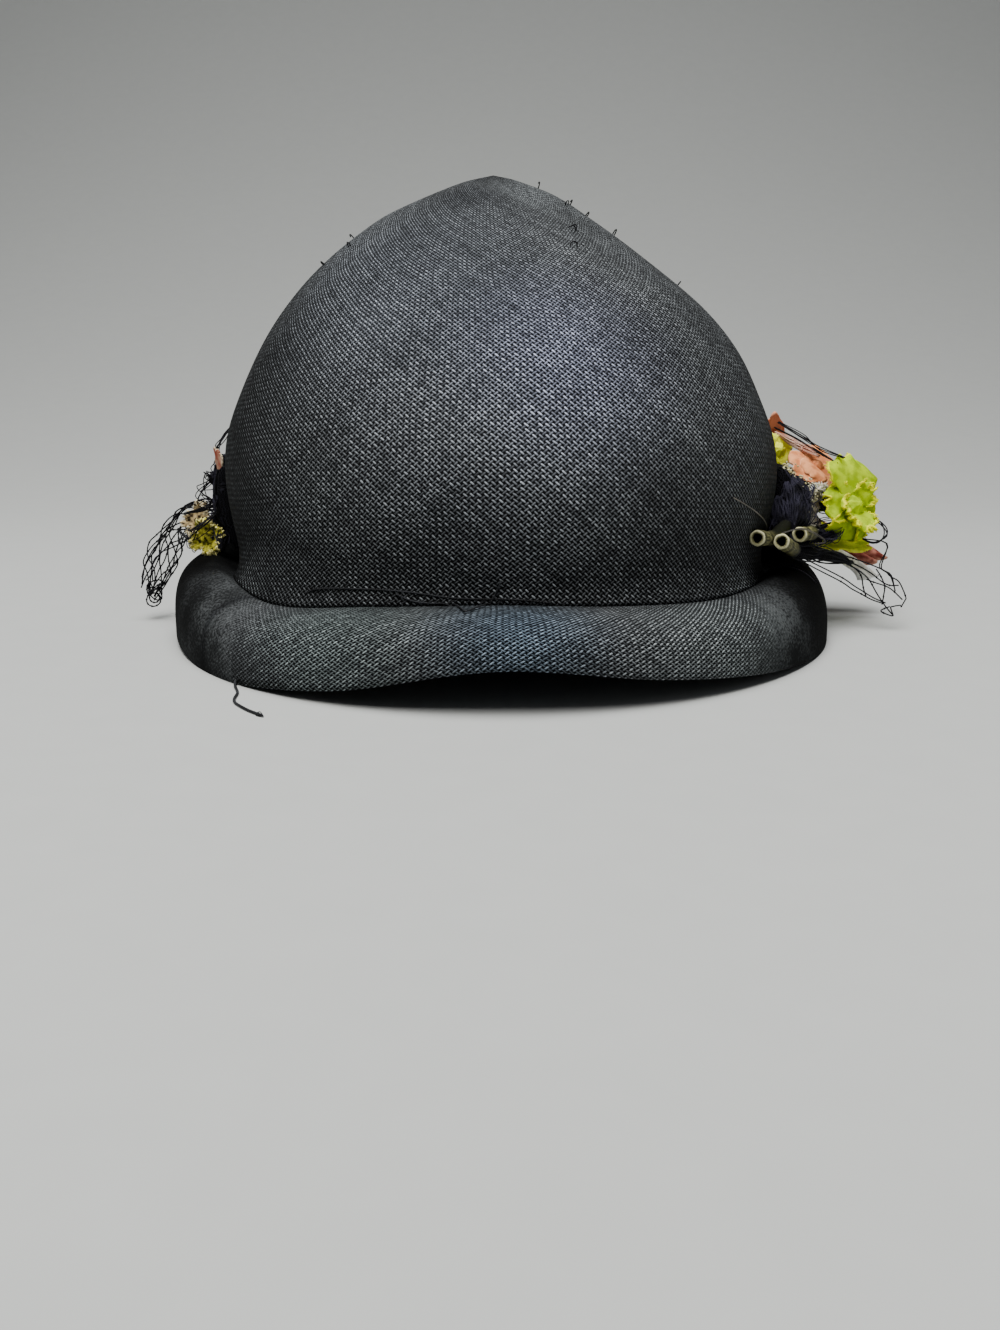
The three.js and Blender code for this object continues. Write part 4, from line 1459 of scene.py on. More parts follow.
@dataclass
class Flower(Trim):
    """A cloth flower: petals round a gathered heart, on a stalk from its seat on the band."""

    centre: Point
    facing: Point
    heart: float
    petals: tuple[tuple[float, Petal], ...]
    fray: int = 60
    fray_reach: float = 1.1
    fray_radius: float = 0.13
    stalk_radius: float = 1.4

    def heart_ball(self) -> Surface:
        """Gathered heart: a ball whose radius ripples round and along it.

        Returns:
            The closed surface.
        """
        rows, columns = 16, 24
        round_ = np.linspace(0, 2 * np.pi, columns, endpoint=False)
        turn, climb = np.meshgrid(round_, np.linspace(-1.5, 1.5, rows))
        flat = np.cos(climb)
        ripple = 0.14 * np.sin(7 * turn + 2 * climb) * flat + 0.08 * np.sin(5 * climb)
        reach = self.heart * (1 + ripple)
        ball = np.stack([flat * np.cos(turn), flat * np.sin(turn), np.sin(climb)], axis=-1) * reach[..., None]
        poles = np.array([(0, 0, -self.heart), (0, 0, self.heart)])
        place = np.arange(columns)[None]
        last = rows * columns
        caps = np.concatenate([fans([last], place[:, ::-1]), fans([last + 1], last - columns + place)])
        points = np.concatenate([ball.reshape(-1, 3), poles]) @ frame_at(self.facing) + self.centre
        return Surface(points, grid_quads(rows, columns, True), caps, rim=0.35)

    def build(self, band: NetBand) -> Surface:
        """All of the flower as one surface.

        Args:
            band: The net band.

        Returns:
            The closed surface.
        """
        rng = self.random()
        parts = [self.heart_ball()]
        for number, (turn, petal) in enumerate(self.petals):
            points, pairs, rim = petal.grid(1.3 * number + 0.4)
            laid = turned(points + (0, 0.6 * self.heart, 0), turn - 90)
            placed = laid @ frame_at(self.facing) + self.centre
            parts.append(shell(placed, petal.cloth, pairs, rim))
            if self.fray:
                threads = petal.fringe(placed, self.fray, self.fray_reach, rng)
                parts.append(strands(threads, self.fray_radius, 3, rim=1.0))
        root, middle = band.seat(*self.seat), np.array(self.centre)
        share = np.linspace(0, 1, 12)[:, None]
        bow = np.sin(np.pi * share) * (0.0, 0.0, 0.8)
        width = self.stalk_radius * (1 + 0.08 * np.sin(19 * share[:, 0]))
        parts.append(strands((root + share * (middle - root) + bow)[None], width[None], 9, rim=0.1))
        return Surface.joined(parts)


@dataclass
class Leaf(Trim):
    """One petal or leaf sewn to the band by its base."""

    heading: Point
    upwards: Point
    petal: Petal
    fray: int = 40
    fray_reach: float = 0.9
    fray_radius: float = 0.12
    sunk: float = 1.6

    def build(self, band: NetBand) -> Surface:
        """The leaf with its frayed edge.

        Args:
            band: The net band.

        Returns:
            The closed surface.
        """
        rng = self.random()
        forward = unit(np.array(self.heading, float))
        side = unit(np.cross(forward, self.upwards))
        axes = np.stack([side, forward, np.cross(side, forward)])
        points, pairs, rim = self.petal.grid(0.9)
        placed = points @ axes + band.seat(*self.seat) - self.sunk * forward
        parts = [shell(placed, self.petal.cloth, pairs, rim)]
        if self.fray:
            threads = self.petal.fringe(placed, self.fray, self.fray_reach, rng)
            parts.append(strands(threads, self.fray_radius, 3, rim=1.0))
        return Surface.joined(parts)


@dataclass
class Stem(Trim):
    """A cut hollow stem that leaves the band and ends open."""

    made_of: ClassVar[str] = "ridged"
    bend: Point
    end: Point
    radius: float = 2.1
    bore: float = 1.3
    sides: int = 24
    stations: int = 60

    def build(self, band: NetBand) -> Surface:
        """Tube: outer rings along the route, then inner rings back, with ridges and a knobbly width.

        Args:
            band: The net band.

        Returns:
            The closed surface.
        """
        share = np.linspace(0, 1, self.stations)
        route = spline(np.array([band.seat(*self.seat), self.bend, self.end]), share)
        side, up = (direction[0] for direction in ring_frames(route[None]))
        turn = 2 * np.pi * np.arange(self.sides) / self.sides
        ring = np.cos(turn)[:, None] * side[:, None] + np.sin(turn)[:, None] * up[:, None]
        knobs = 1 + 0.05 * np.sin(23 * share[:, None]) + 0.03 * np.sin(6 * turn + 9 * share[:, None])
        flare = 1 + 0.08 * smooth(share, 0.93, 1.0)[:, None]
        outer = route[:, None] + ring * (self.radius * knobs * flare)[..., None]
        bore = self.bore * (1 + 0.08 * np.sin(3 * turn)) * np.ones_like(knobs)
        inner = route[:, None] + ring * bore[..., None]
        grid = np.concatenate([outer, inner[::-1], outer[:1]])
        around = np.arange(self.sides + 1) / self.sides
        length = np.linalg.norm(np.diff(route, axis=0), axis=-1).sum()
        run = length * np.concatenate([share, share[::-1], share[:1]])
        # rim share: low towards the band and inside the bore for painted shade, and 1 at the pale cut end
        out_of_painted_shade = 0.45 * smooth(share, 0.5, 0.9)
        rim = np.concatenate([out_of_painted_shade + 0.55 * smooth(share, 0.975, 1.0), smooth(share[::-1], 0.98, 1.0) * 0.5])
        return Surface(
            grid[:-1].reshape(-1, 3),
            grid_quads(len(grid) - 1, self.sides, True, True),
            pairs=corner_uv(np.stack(np.broadcast_arrays(around, run[:, None]), axis=-1)),
            rim=np.repeat(rim, self.sides),
        )


@dataclass
class NetTail(Trim):
    """A loose end of coarse net that follows a curve from its seat on the band."""

    made_of: ClassVar[str] = "strands"
    lie: NetLie
    start_width: float
    cup: float
    spine: tuple[tuple[float, float, float, float], ...]
    routes: tuple[tuple[tuple[float, float], ...], ...] = ()
    turns: float = 0.5
    count: int = 8
    loops: int = 6
    flat: float = 0.6
    strand: float = 0.22
    knot: float = 0.36
    facing: Point = (0.0, -1.0, 0.2)

    def frame(self, band: NetBand, v: Array) -> tuple[Array, Array, Array, Array]:
        """Middle, width, side and up directions at shares along the net.

        Args:
            band: The net band.
            v: Shares along the net.

        Returns:
            Middles, widths, and the side and up directions.
        """
        rows = np.array([(*band.seat(*self.seat), self.start_width), *self.spine])
        here = spline(rows, v)
        early, late = (spline(rows[:, :3], np.clip(v + step, 0, 1)) for step in (-0.01, 0.01))
        forward = unit(late - early)
        beyond = forward * (np.maximum(v - 1.0, 0.0) * 25.0)[..., None]
        side = unit(np.cross(forward, self.facing))
        return here[..., :3] + beyond, here[..., 3], side, np.cross(side, forward)

    def sheet(self, band: NetBand, u: Array, v: Array) -> Array:
        """Points of the net laid open: out by the width, cupped by the square of the share across.

        Args:
            band: The net band.
            u: Shares across the net.
            v: Shares along the net.

        Returns:
            The points.
        """
        middle, width, side, up = self.frame(band, v)
        wide = 2 * u - 1
        return middle + side * (wide * width / 2)[..., None] + up * (self.cup * wide * wide)[..., None]

    def rolled(self, band: NetBand, turn: Array, v: Array, reach: Array) -> Array:
        """Points of the net crushed into a flattened roll round its middle.

        Args:
            band: The net band.
            turn: Angles round the roll.
            v: Shares along the net.
            reach: Shares of the roll's half width.

        Returns:
            The points.
        """
        middle, width, side, up = self.frame(band, v)
        out = (width / 2 * reach)[..., None]
        return middle + out * (np.cos(turn)[..., None] * side + self.flat * np.sin(turn)[..., None] * up)

    def open_paths(self, band: NetBand) -> Array:
        """Strands of an open net: smooth lines through each route's shares across and along."""
        share = np.linspace(0, 1, 26)
        return np.stack([self.sheet(band, *spline(np.array(route), share).T) for route in self.routes])

    def rolled_paths(self, band: NetBand, rng: np.random.Generator) -> Array:
        """Strands of a crushed net: screw lines that wind both ways, with loops at the end.

        Args:
            band: The net band.
            rng: The piece's own random numbers.

        Returns:
            Strands by points by three.
        """
        share = np.linspace(0, 1, 64)
        start = np.tile(2 * np.pi * np.arange(self.count) / self.count, 2)[:, None]
        hand = np.repeat([1.0, -1.0], self.count)[:, None]
        phases = rng.uniform(0, 2 * np.pi, (3, 2 * self.count, 1))
        turn = start + hand * 2 * np.pi * self.turns * share + 0.5 * np.sin(9 * share + phases[0])
        reach = 0.95 + 0.28 * np.sin(11 * share + phases[1]) - 0.25 * smooth(share, 0.75, 1.0)
        reached = share * rng.uniform(0.86, 1.0, (2 * self.count, 1))
        v = np.clip(reached + 0.012 * np.sin(31 * share + phases[2]), 0, 1)
        along = self.rolled(band, turn, v, reach)
        spin = 2 * np.pi * share
        each = (self.loops, 1)
        angle, place = rng.uniform(0, 6.28, each), rng.uniform(0.86, 0.99, each)
        centre = self.rolled(band, angle, place, np.full(each, 0.35))
        axes = unit(rng.normal(0, 1, (2, *each, 3)))
        axes[1] = unit(np.cross(axes[0], axes[1]))
        size = rng.uniform(1.4, 2.9, (*each, 1))
        loops = centre + size * (np.cos(spin)[:, None] * axes[0] + np.sin(spin)[:, None] * axes[1])
        return np.concatenate([along, loops])

    def build(self, band: NetBand) -> Surface:
        """The net's strands with small knots along them.

        Args:
            band: The net band.

        Returns:
            The closed surface.
        """
        rng = self.random()
        paths = self.open_paths(band) if self.lie is NetLie.SHEET else self.rolled_paths(band, rng)
        tied = paths[:, 4:-3:7].reshape(-1, 3)
        return Surface.joined([strands(paths, self.strand, 5), balls(tied, self.knot)])


def even(count: int, first: float, petal: Petal) -> tuple[tuple[float, Petal], ...]:
    """The same petal at equal turns round a flower."""
    return tuple((first + 360.0 * number / count, petal) for number in range(count))


FLORET = Petal(4.5, 5.5, rise=30, curl=-20, cup=0.6, ruffle=0.7, frill=0.8, ragged=0.14, steps=20)
YELLOW_PETAL = Petal(4.5, 6.0, rise=48, curl=-85, cup=-0.7, frill=0.2, ragged=0.05, steps=20)
LIME = {"rise": 22, "curl": -58, "cup": -1.2, "waves": 2, "ragged": 0.04, "steps": 40}
LIME_LOW = LIME | {"ruffle": 1.0, "curl": -80, "frill": 0.4, "roll": 1.0}
LIME_UNDER = LIME_LOW | {"curl": -135}
LIME_INNER = {
    "rise": 48, "curl": -45, "cup": -0.8, "ruffle": 0.7, "frill": 0.6, "roll": 1.4, "ragged": 0.1,
    "steps": 30,
}
CREAM = {"rise": 20, "curl": 20, "cup": 0.8, "ruffle": 0.5, "frill": 0.15, "ragged": 0.04, "steps": 20}

FLOWERS = (
    Flower(
        "lime_flower", Slot.LIME, (3, 13), (109, -9, 37), (0.5, -0.8, 0.3), 3.0,
        (
            (80, Petal(15, 20, ruffle=0.4, frill=0.3, roll=-0.3, **LIME)),
            (8, Petal(11.5, 14, **LIME_LOW)),
            (165, Petal(9, 13, **LIME_LOW)),
            (-48, Petal(12, 14, **LIME_UNDER)),
            (-112, Petal(12, 14, **LIME_UNDER)),
            (200, Petal(7, 9, **LIME_INNER)),
            (-85, Petal(7.5, 10, **LIME_INNER)),
            (40, Petal(6, 8, **LIME_INNER)),
        ),
        fray=150, fray_reach=0.6,
    ),
    Flower(
        "coral_flower", Slot.CORAL, (3.5, 20), (99.5, 1, 48.5), (0.4, -0.6, 0.7), 2.0,
        (
            *even(3, 60, Petal(9, 13, rise=12, curl=-32, cup=-1.0, ruffle=0.5, waves=1)),
            (210, Petal(7, 10, rise=42, curl=-75, cup=-1.0)),
        ),
        fray=0,
    ),
    Flower(
        "yellow_flower", Slot.YELLOW, (4, 24), (88.2, 7, 53), (0.35, -0.9, 0.2), 2.4,
        even(4, 45, YELLOW_PETAL), fray=90, fray_reach=0.5,
    ),
    Flower(
        "white_flower", Slot.CREAM, (-4, 14), (97.6, -5.5, 36), (0.5, -0.8, 0.0), 1.8,
        ((95, Petal(7, 7, **CREAM)), (170, Petal(7, 7, **CREAM)), (245, Petal(7, 8, **CREAM))),
    ),
    Flower(
        "left_floret_1", Slot.YELLOW, (186, 7.5), (-89.5, -12, 27.5), (-0.2, -0.9, 0.2), 2.0,
        even(4, 20, FLORET), fray=40, fray_reach=0.6,
    ),
    Flower(
        "left_floret_2", Slot.CREAM, (182, 8.5), (-94, -4, 31.5), (-0.5, -0.8, 0.5), 2.0,
        even(4, 0, FLORET), fray=40, fray_reach=0.6,
    ),
)

LEAVES = (
    Leaf(
        "lime_leaf", Slot.LIME, (4, 6.5), (1, -0.5, -0.02), (0, -0.5, 1),
        Petal(30, 13, curl=-18, cup=0.8, frill=0.4, ragged=0.05, steps=34), fray=90, fray_reach=0.6,
    ),
    Leaf(
        "pink_petal", Slot.PINK, (14, 7), (1, -0.52, 0), (0, -0.5, 1),
        Petal(46, 12, rise=3, curl=-36, cup=-1.0, frill=0.3, steps=34), fray=0,
    ),
    Leaf(
        "pale_petal", Slot.CREAM, (6, 5), (1, -0.45, 0), (0, -0.5, 1),
        Petal(39, 7, curl=-42, cup=-0.6, frill=0.2), fray=0,
    ),
    Leaf(
        "coral_bud", Slot.CORAL, (9, 24), (-0.1, -0.3, 1), (0.3, -1, 0),
        Petal(20.5, 9, curl=10, cup=-1.0, ragged=0.0, rounded=0.2), fray=0,
    ),
    Leaf(
        "left_bud", Slot.CORAL, (184, 24), (0.02, -0.1, 1), (-1, -0.6, 0),
        Petal(9, 6, curl=16, cup=-0.8, frill=0.2), fray=8, fray_reach=0.5,
    ),
)

STEMS = (
    Stem("stem_1", Slot.STEM, (-8.5, 12), (78.6, -38, 31.4), (70.1, -54, 33)),
    Stem("stem_2", Slot.STEM, (-7, 5.8), (85.8, -31, 26.6), (78, -48.8, 31.4)),
    Stem("stem_3", Slot.STEM, (-5, 7.5), (92.6, -23, 30.5), (86.6, -34, 31.4)),
)

NET_TAILS = (
    NetTail(
        "net_tail_right", Slot.NET, (-2, 5.5), NetLie.SHEET, 4.0, -1.5,
        ((107, -15, 19.5, 8), (116, -18, 12.5, 11), (122.7, -19, 7.2, 7.5)),
        (  # share across, share along
            ((0.5, 0), (1.15, 0.13), (1.1, 0.4), (0.9, 0.6), (0.75, 0.8)),
            ((0.6, 0), (1, 0.13), (0.98, 0.4), (0.82, 0.6), (0.7, 0.82)),
            (
                (0.3, 0), (0.2, 0.3), (-0.02, 0.56), (0, 0.68), (-0.1, 0.81), (0, 0.96), (0.27, 1.02),
                (0.72, 0.9),
            ),
            ((0.5, 0.2), (0.5, 0.5), (0.68, 0.73), (0.91, 0.98)),
            ((0.1, 0.5), (0.3, 0.67), (0.55, 0.74), (0.8, 0.8)),
            ((0.55, 0.5), (0.3, 0.72), (0.24, 0.96)),
            ((0.72, 0.89), (0.98, 0.85), (0.96, 1), (0.72, 0.9)),
            ((0.4, 0.1), (0.5, 0.38), (0.75, 0.52), (0.87, 0.62)),
            ((0.45, 0.1), (0.32, 0.47), (0.25, 0.7), (0, 0.82)),
        ),
    ),
    NetTail(
        "net_tail_left", Slot.NET, (178, 12), NetLie.ROLL, 6.0, -2.5,
        ((-97.3, 3, 33.5, 7), (-104.5, 1, 26.6, 8.5), (-108, -1, 18, 9), (-112.5, -2, 5.5, 8)),
    ),
)


class Wisp(Enum):
    """Which finish a wisp of loose strands takes."""

    NET = "strand"
    DRY = "whisker"
    FINE = "fibre"
    CREAM = "fleck"
    PALE = "pale"


@dataclass(frozen=True)
class Wisps:
    """Loose strands that share a route between two pieces of the trim."""

    name: str
    kind: Wisp
    count: int
    spread: float
    radius: float = 0.19
    tip: float = 0.0
    route: tuple[Point, ...] = ()

    def paths(self, seed: int) -> Array:
        """Strands along the route, or short tips at random slants beside it if a tip's length is given.

        Args:
            seed: Start of the random numbers.

        Returns:
            Strands by points by three.
        """
        if not self.tip:
            return bundle(self.route, self.count, self.spread, seed)
        rng = np.random.default_rng(seed)
        along = spline(np.array(self.route), rng.uniform(0, 1, self.count))
        middle = along + rng.normal(0, self.spread, (self.count, 3))
        slant = unit(rng.normal(0, 1, (self.count, 3))) * rng.uniform(0.4, 1.2, (self.count, 1)) * self.tip
        return middle[:, None] + np.linspace(-0.5, 0.5, 4)[:, None] * slant[:, None]


WISPS = (
    Wisps("veil_over_coral", Wisp.NET, 5, 0.6, route=(
        (86.8, 13, 63), (95, 5, 57.6), (99.5, 0, 54.6), (105.5, -8, 51.6),
    )),
    Wisps("veil_under_coral", Wisp.NET, 3, 0.6, route=(
        (86, 13, 61), (94.2, 5, 56.2), (98.2, 0, 53.4), (103.6, -8, 49.8),
    )),
    Wisps("veil_edge", Wisp.PALE, 26, 0.8, 0.17, route=(
        (87.5, 8, 58.6), (91.8, 5, 56), (95.8, 2, 53.8), (99.5, -1, 51.6),
    )),
    Wisps("loops_by_lime", Wisp.NET, 3, 0.5, route=(
        (112, -9, 34), (116.9, -10, 32.3), (119.2, -12, 28.3), (115.6, -11, 26.5), (112, -11, 27),
    )),
    Wisps("loops_to_tail", Wisp.NET, 2, 0.5, route=(
        (112, -10, 27), (119.4, -12, 25.5), (117.1, -14, 18.7), (119.8, -16, 16.4), (121, -18, 12),
    )),
    Wisps("twist_under_stems", Wisp.NET, 90, 1.1, 0.2, route=(
        (80, -37, 27.6), (89.6, -30, 25.8), (98, -23, 23.6), (107, -18, 20.8),
    )),
    Wisps("net_over_stems", Wisp.FINE, 260, 2.2, 0.15, route=(
        (88, -13, 46), (88.5, -16, 41), (87.5, -21, 36), (86, -27, 30),
    )),
    Wisps("net_by_band", Wisp.FINE, 200, 1.7, 0.15, route=(
        (91.5, -8, 45.5), (91.8, -13, 41), (90.5, -18, 35.5), (89, -24, 29),
    )),
    Wisps("net_behind_stems", Wisp.FINE, 160, 2.0, 0.16, route=(
        (84, -16, 40), (84, -21, 35), (84.5, -26, 30), (88, -28, 26.2),
    )),
    Wisps("net_by_lime", Wisp.FINE, 100, 1.8, 0.14, route=(
        (90, 1, 36), (97, 0, 38), (103, -2, 37), (108, -6, 36),
    )),
    Wisps("net_below_lime", Wisp.FINE, 110, 1.8, 0.14, route=(
        (88, -6, 28), (95, -10, 28), (101, -10, 29), (107, -9, 33),
    )),
    Wisps("tips_by_net", Wisp.CREAM, 60, 1.5, 0.26, 0.8, route=(
        (86.5, -12, 47.5), (90, -13, 45.8), (93, -13, 44), (95, -13, 42), (98, -13, 42),
    )),
    Wisps("tips_by_lime", Wisp.CREAM, 30, 0.8, 0.25, 1.0, route=(
        (94, -13, 42), (96, -13, 41), (95, -13, 38), (94.5, -13, 36),
    )),
    Wisps("dry_loop", Wisp.DRY, 2, 0.35, 0.15, route=(
        (79.6, -42, 32.8), (86.2, -38, 33.3), (93.1, -32, 30.8), (95.2, -29, 28), (91, -26, 27.5),
    )),
    Wisps("left_veil_top", Wisp.NET, 7, 0.6, 0.15, route=(
        (-83.4, 3, 61.5), (-86.4, 1, 57), (-88.2, -1, 53.4), (-87.2, -2, 49),
    )),
    Wisps("left_loops", Wisp.NET, 9, 1.5, 0.15, route=(
        (-85.6, -1, 46), (-91, -5, 43.5), (-92.4, -6, 39.6), (-87, -4, 36),
    )),
    Wisps("left_over_floret", Wisp.NET, 12, 0.8, 0.17, route=(
        (-84, -6, 42.2), (-87.2, -8, 38.5), (-91.5, -8, 36), (-99, -3, 34),
    )),
    Wisps("left_across_floret", Wisp.NET, 8, 1.6, 0.17, route=(
        (-86, -9, 36), (-91, -16, 31), (-95, -13, 28), (-101, -3, 29),
    )),
    Wisps("left_tuft", Wisp.FINE, 50, 1.4, 0.13, route=(
        (-85, -2, 46), (-87, -4, 45), (-89, -5, 45.4), (-87, -3, 42),
    )),
    Wisps("left_fall", Wisp.FINE, 130, 1.2, 0.16, route=(
        (-87, -4, 39), (-86.5, -9, 34), (-85, -13, 28.5), (-84.8, -15, 24),
    )),
    Wisps("left_mass", Wisp.FINE, 120, 1.1, 0.15, route=(
        (-85.5, 0, 52), (-87.2, -2, 48.5), (-87.6, -4, 44.5), (-86.6, -6, 40),
    )),
    Wisps("left_under_floret", Wisp.FINE, 50, 1.7, 0.15, route=(
        (-85, -8, 31), (-90, -10, 27), (-95, -6, 26), (-99, 0, 29),
    )),
)


FIRST_SEED = 40
WISP_SLOTS = {Wisp.DRY: Slot.STEM, Wisp.CREAM: Slot.CREAM, Wisp.PALE: Slot.CREAM}


def dress_wisps(finishes: Finishes) -> None:
    """Adds each bundle of loose strands.

    Args:
        finishes: The hat's materials.
    """
    for number, wisp in enumerate(WISPS):
        slot = WISP_SLOTS.get(wisp.kind, Slot.NET)
        finish = getattr(finishes, wisp.kind.value)
        strands(wisp.paths(FIRST_SEED + number), wisp.radius, 4).piece(wisp.name, finish, slot)


# Loose threads


# Rows of x and the distance from the crown's foot, for the seam's thread and the one that has come loose
SEAM_RUN = ((-48, -2.6), (-43, -3.3), (-24.4, -3), (-9.8, -1.6), (3.4, -1.3), (12, -0.8))
SEAM_ARCH = (
    (-25, -2.6), (-21, -1.4), (-17, -0.9), (-12.5, -0.6), (-10, 1.5), (-8.3, 5.5), (-7, 8), (-5.4, 5),
    (-3.2, 0.8), (-1.2, -2.4), (0.2, -5),
)

# Rows of azimuth and share of the height
CURLS = (
    (-163, 0.71), (-150.5, 0.68), (-158, 0.64), (-19.5, 0.865), (-16.5, 0.80), (-18.5, 0.77),
    (-54, 0.704), (-52, 0.71), (-16, 0.72), (-30, 0.79), (-60, 0.66), (-8, 0.6),
)


@dataclass
class LooseThreads:
    """Stitches and loose threads of the seam, and fibres that have lifted from the straw."""

    crown: Crown
    brim: Brim
    stitch_count: int = 128
    stitch_length: float = 2.4
    stitch_radius: float = 0.2
    fibre_radius: float = 0.17
    thread: float = 0.22
    trail_radius: float = 0.35
    trail: tuple[Point, ...] = (
        (-66.2, -84.6, 2.2), (-66.9, -86.3, 0.9), (-66.2, -89.5, 0.42), (-64.5, -95, 0.4),
        (-63.6, -103, 0.4), (-59.4, -110, 0.4), (-55, -115, 0.4),
    )

    def by_seam(self, x: Array, out: Array, lift: float) -> Array:
        """Points near the back of the seam.

        Args:
            x: Places along X, on the back half.
            out: Distance from the crown's foot, out over the brim if above zero and up the crown if below.
            lift: Height above the straw.

        Returns:
            The points.
        """
        azimuth = -np.arccos(np.clip(x / self.brim.half_width, -1, 1))
        share = self.brim.share_at(azimuth, np.maximum(out, 0) + self.crown.flared(azimuth, 0 * x))
        level = self.brim.offset(azimuth, share, np.full_like(x, -lift))
        rise = np.maximum(-out, 0)
        raised = lift + self.crown.flared(azimuth, rise)
        upright = self.crown.offset(azimuth, self.crown.share_at(rise), raised)
        return np.where((out >= 0)[:, None], level, upright)

    def stitches(self) -> Surface:
        """Short slanting stitches that hold the brim to the crown, evenly spaced round the seam.

        Returns:
            The closed surface.
        """
        turn = 2 * np.pi * np.arange(self.stitch_count) / self.stitch_count
        share = np.linspace(-0.5, 0.5, 5)
        mean_radius = (self.brim.half_width + self.brim.half_length) / 2
        azimuth = turn[:, None] + share * self.stitch_length / mean_radius
        rise = 0.9 + 0.9 * share[None, :] + 0.1 * np.sin(9 * turn)[:, None]
        lift = 0.15 - 1.2 * share**2 + self.crown.flared(azimuth, rise)
        paths = self.crown.offset(azimuth, self.crown.share_at(rise), lift)
        return strands(paths, self.stitch_radius, 5)

    def seam_threads(self) -> Surface:
        """The thread along the seam, and one that has come loose in an arch with a short tail up the crown.

        Returns:
            The closed surface.
        """
        share = np.linspace(0, 1, 90)
        lifted = ((SEAM_RUN, 0.3), (SEAM_ARCH, 0.55))
        paths = [self.by_seam(*spline(np.array(rows), share).T, lift) for rows, lift in lifted]
        return strands(np.stack(paths), self.thread, 6)

    def curls(self) -> Surface:
        """Fibres that curl away from the crown: arcs that leave the straw and bend over, at listed places.

        Returns:
            The closed surface.
        """
        rng = np.random.default_rng(11)
        degrees, share = np.array(CURLS).T
        azimuth, each = np.radians(degrees), (len(CURLS), 1)
        root = self.crown.offset(azimuth, share, np.full(len(CURLS), -0.1))
        normal = unit(self.crown.offset(azimuth, share, np.ones(len(CURLS))) - root)
        level = unit(np.cross(normal, (0.0, 0.0, 1.0)))
        turn = np.linspace(0, 1, 18) * rng.uniform(2.6, 5.6, each)
        reach = rng.uniform(0.8, 1.5, each)
        hand = rng.choice([-1.0, 1.0], each)
        away = (reach * np.sin(turn) + 0.25 * turn)[..., None] * normal[:, None]
        over = (hand * reach * (1 - np.cos(turn)))[..., None] * level[:, None]
        return strands(root[:, None] + away + over, self.fibre_radius, 4)

    def whisker(self) -> Surface:
        """A stiff dry fibre that lies along the crown towards the stems, lifted a little in its middle.

        Returns:
            The closed surface.
        """
        share = np.linspace(0, 1, 24)
        azimuth, rise = np.radians(-44.0 + 24.0 * share), 22.0 - 13.3 * share
        lift = 0.2 + 0.9 * np.sin(np.pi * share)
        path = self.crown.offset(azimuth, self.crown.share_at(rise), lift)
        return strands(path[None], self.fibre_radius, 5)

    def fallen(self) -> Surface:
        """Two net strands that lie on the brim below the stems.

        Returns:
            The closed surface.
        """
        share = np.linspace(0, 1, 24)
        start, sway, reach = np.array([(-21.5, 2.5, 0.5), (-19.5, 3.0, 0.56)]).T[..., None]
        azimuth = np.radians(start + sway * np.sin(2.2 * share))
        out = 0.02 + reach * share**1.3
        return strands(self.brim.offset(azimuth, out, np.full_like(azimuth, -0.3)), self.thread, 5)

    def floor_thread(self, finishes: Finishes) -> None:
        """The long thread that has come out of the brim's edge, fallen to the surface and laid along it.

        Args:
            finishes: The hat's materials.
        """
        share = np.linspace(0, 1, 60)
        path = spline(np.array(self.trail), share)
        twist = 0.06 * np.sin(150 * share)[None]
        made = strands(path[None], self.trail_radius + twist * self.trail_radius, 8)
        tip, back = path[-1], unit(path[-2] - path[-1])
        frayed = bundle((tip + 2.0 * back, tip, tip - 1.2 * back), 7, 0.35, 3, 8)
        frayed[..., 2] = np.maximum(frayed[..., 2], 0.15)
        whole = Surface.joined([made, strands(frayed, 0.12, 4)])
        piece = whole.piece("loose_thread", finishes.thread, Slot.STRAW)

    def dress(self, finishes: Finishes) -> None:
        """Adds the stitches, the seam's threads and the lifted fibres.

        Args:
            finishes: The hat's materials.
        """
        self.whisker().piece("crown_whisker", finishes.whisker, Slot.STEM)
        self.fallen().piece("fallen_strands", finishes.strand, Slot.NET)
        self.stitches().piece("seam_stitches", finishes.thread, Slot.STRAW)
        self.seam_threads().piece("seam_thread", finishes.thread, Slot.STRAW)
        self.curls().piece("straw_fibres", finishes.strand, Slot.STRAW)


# Studio


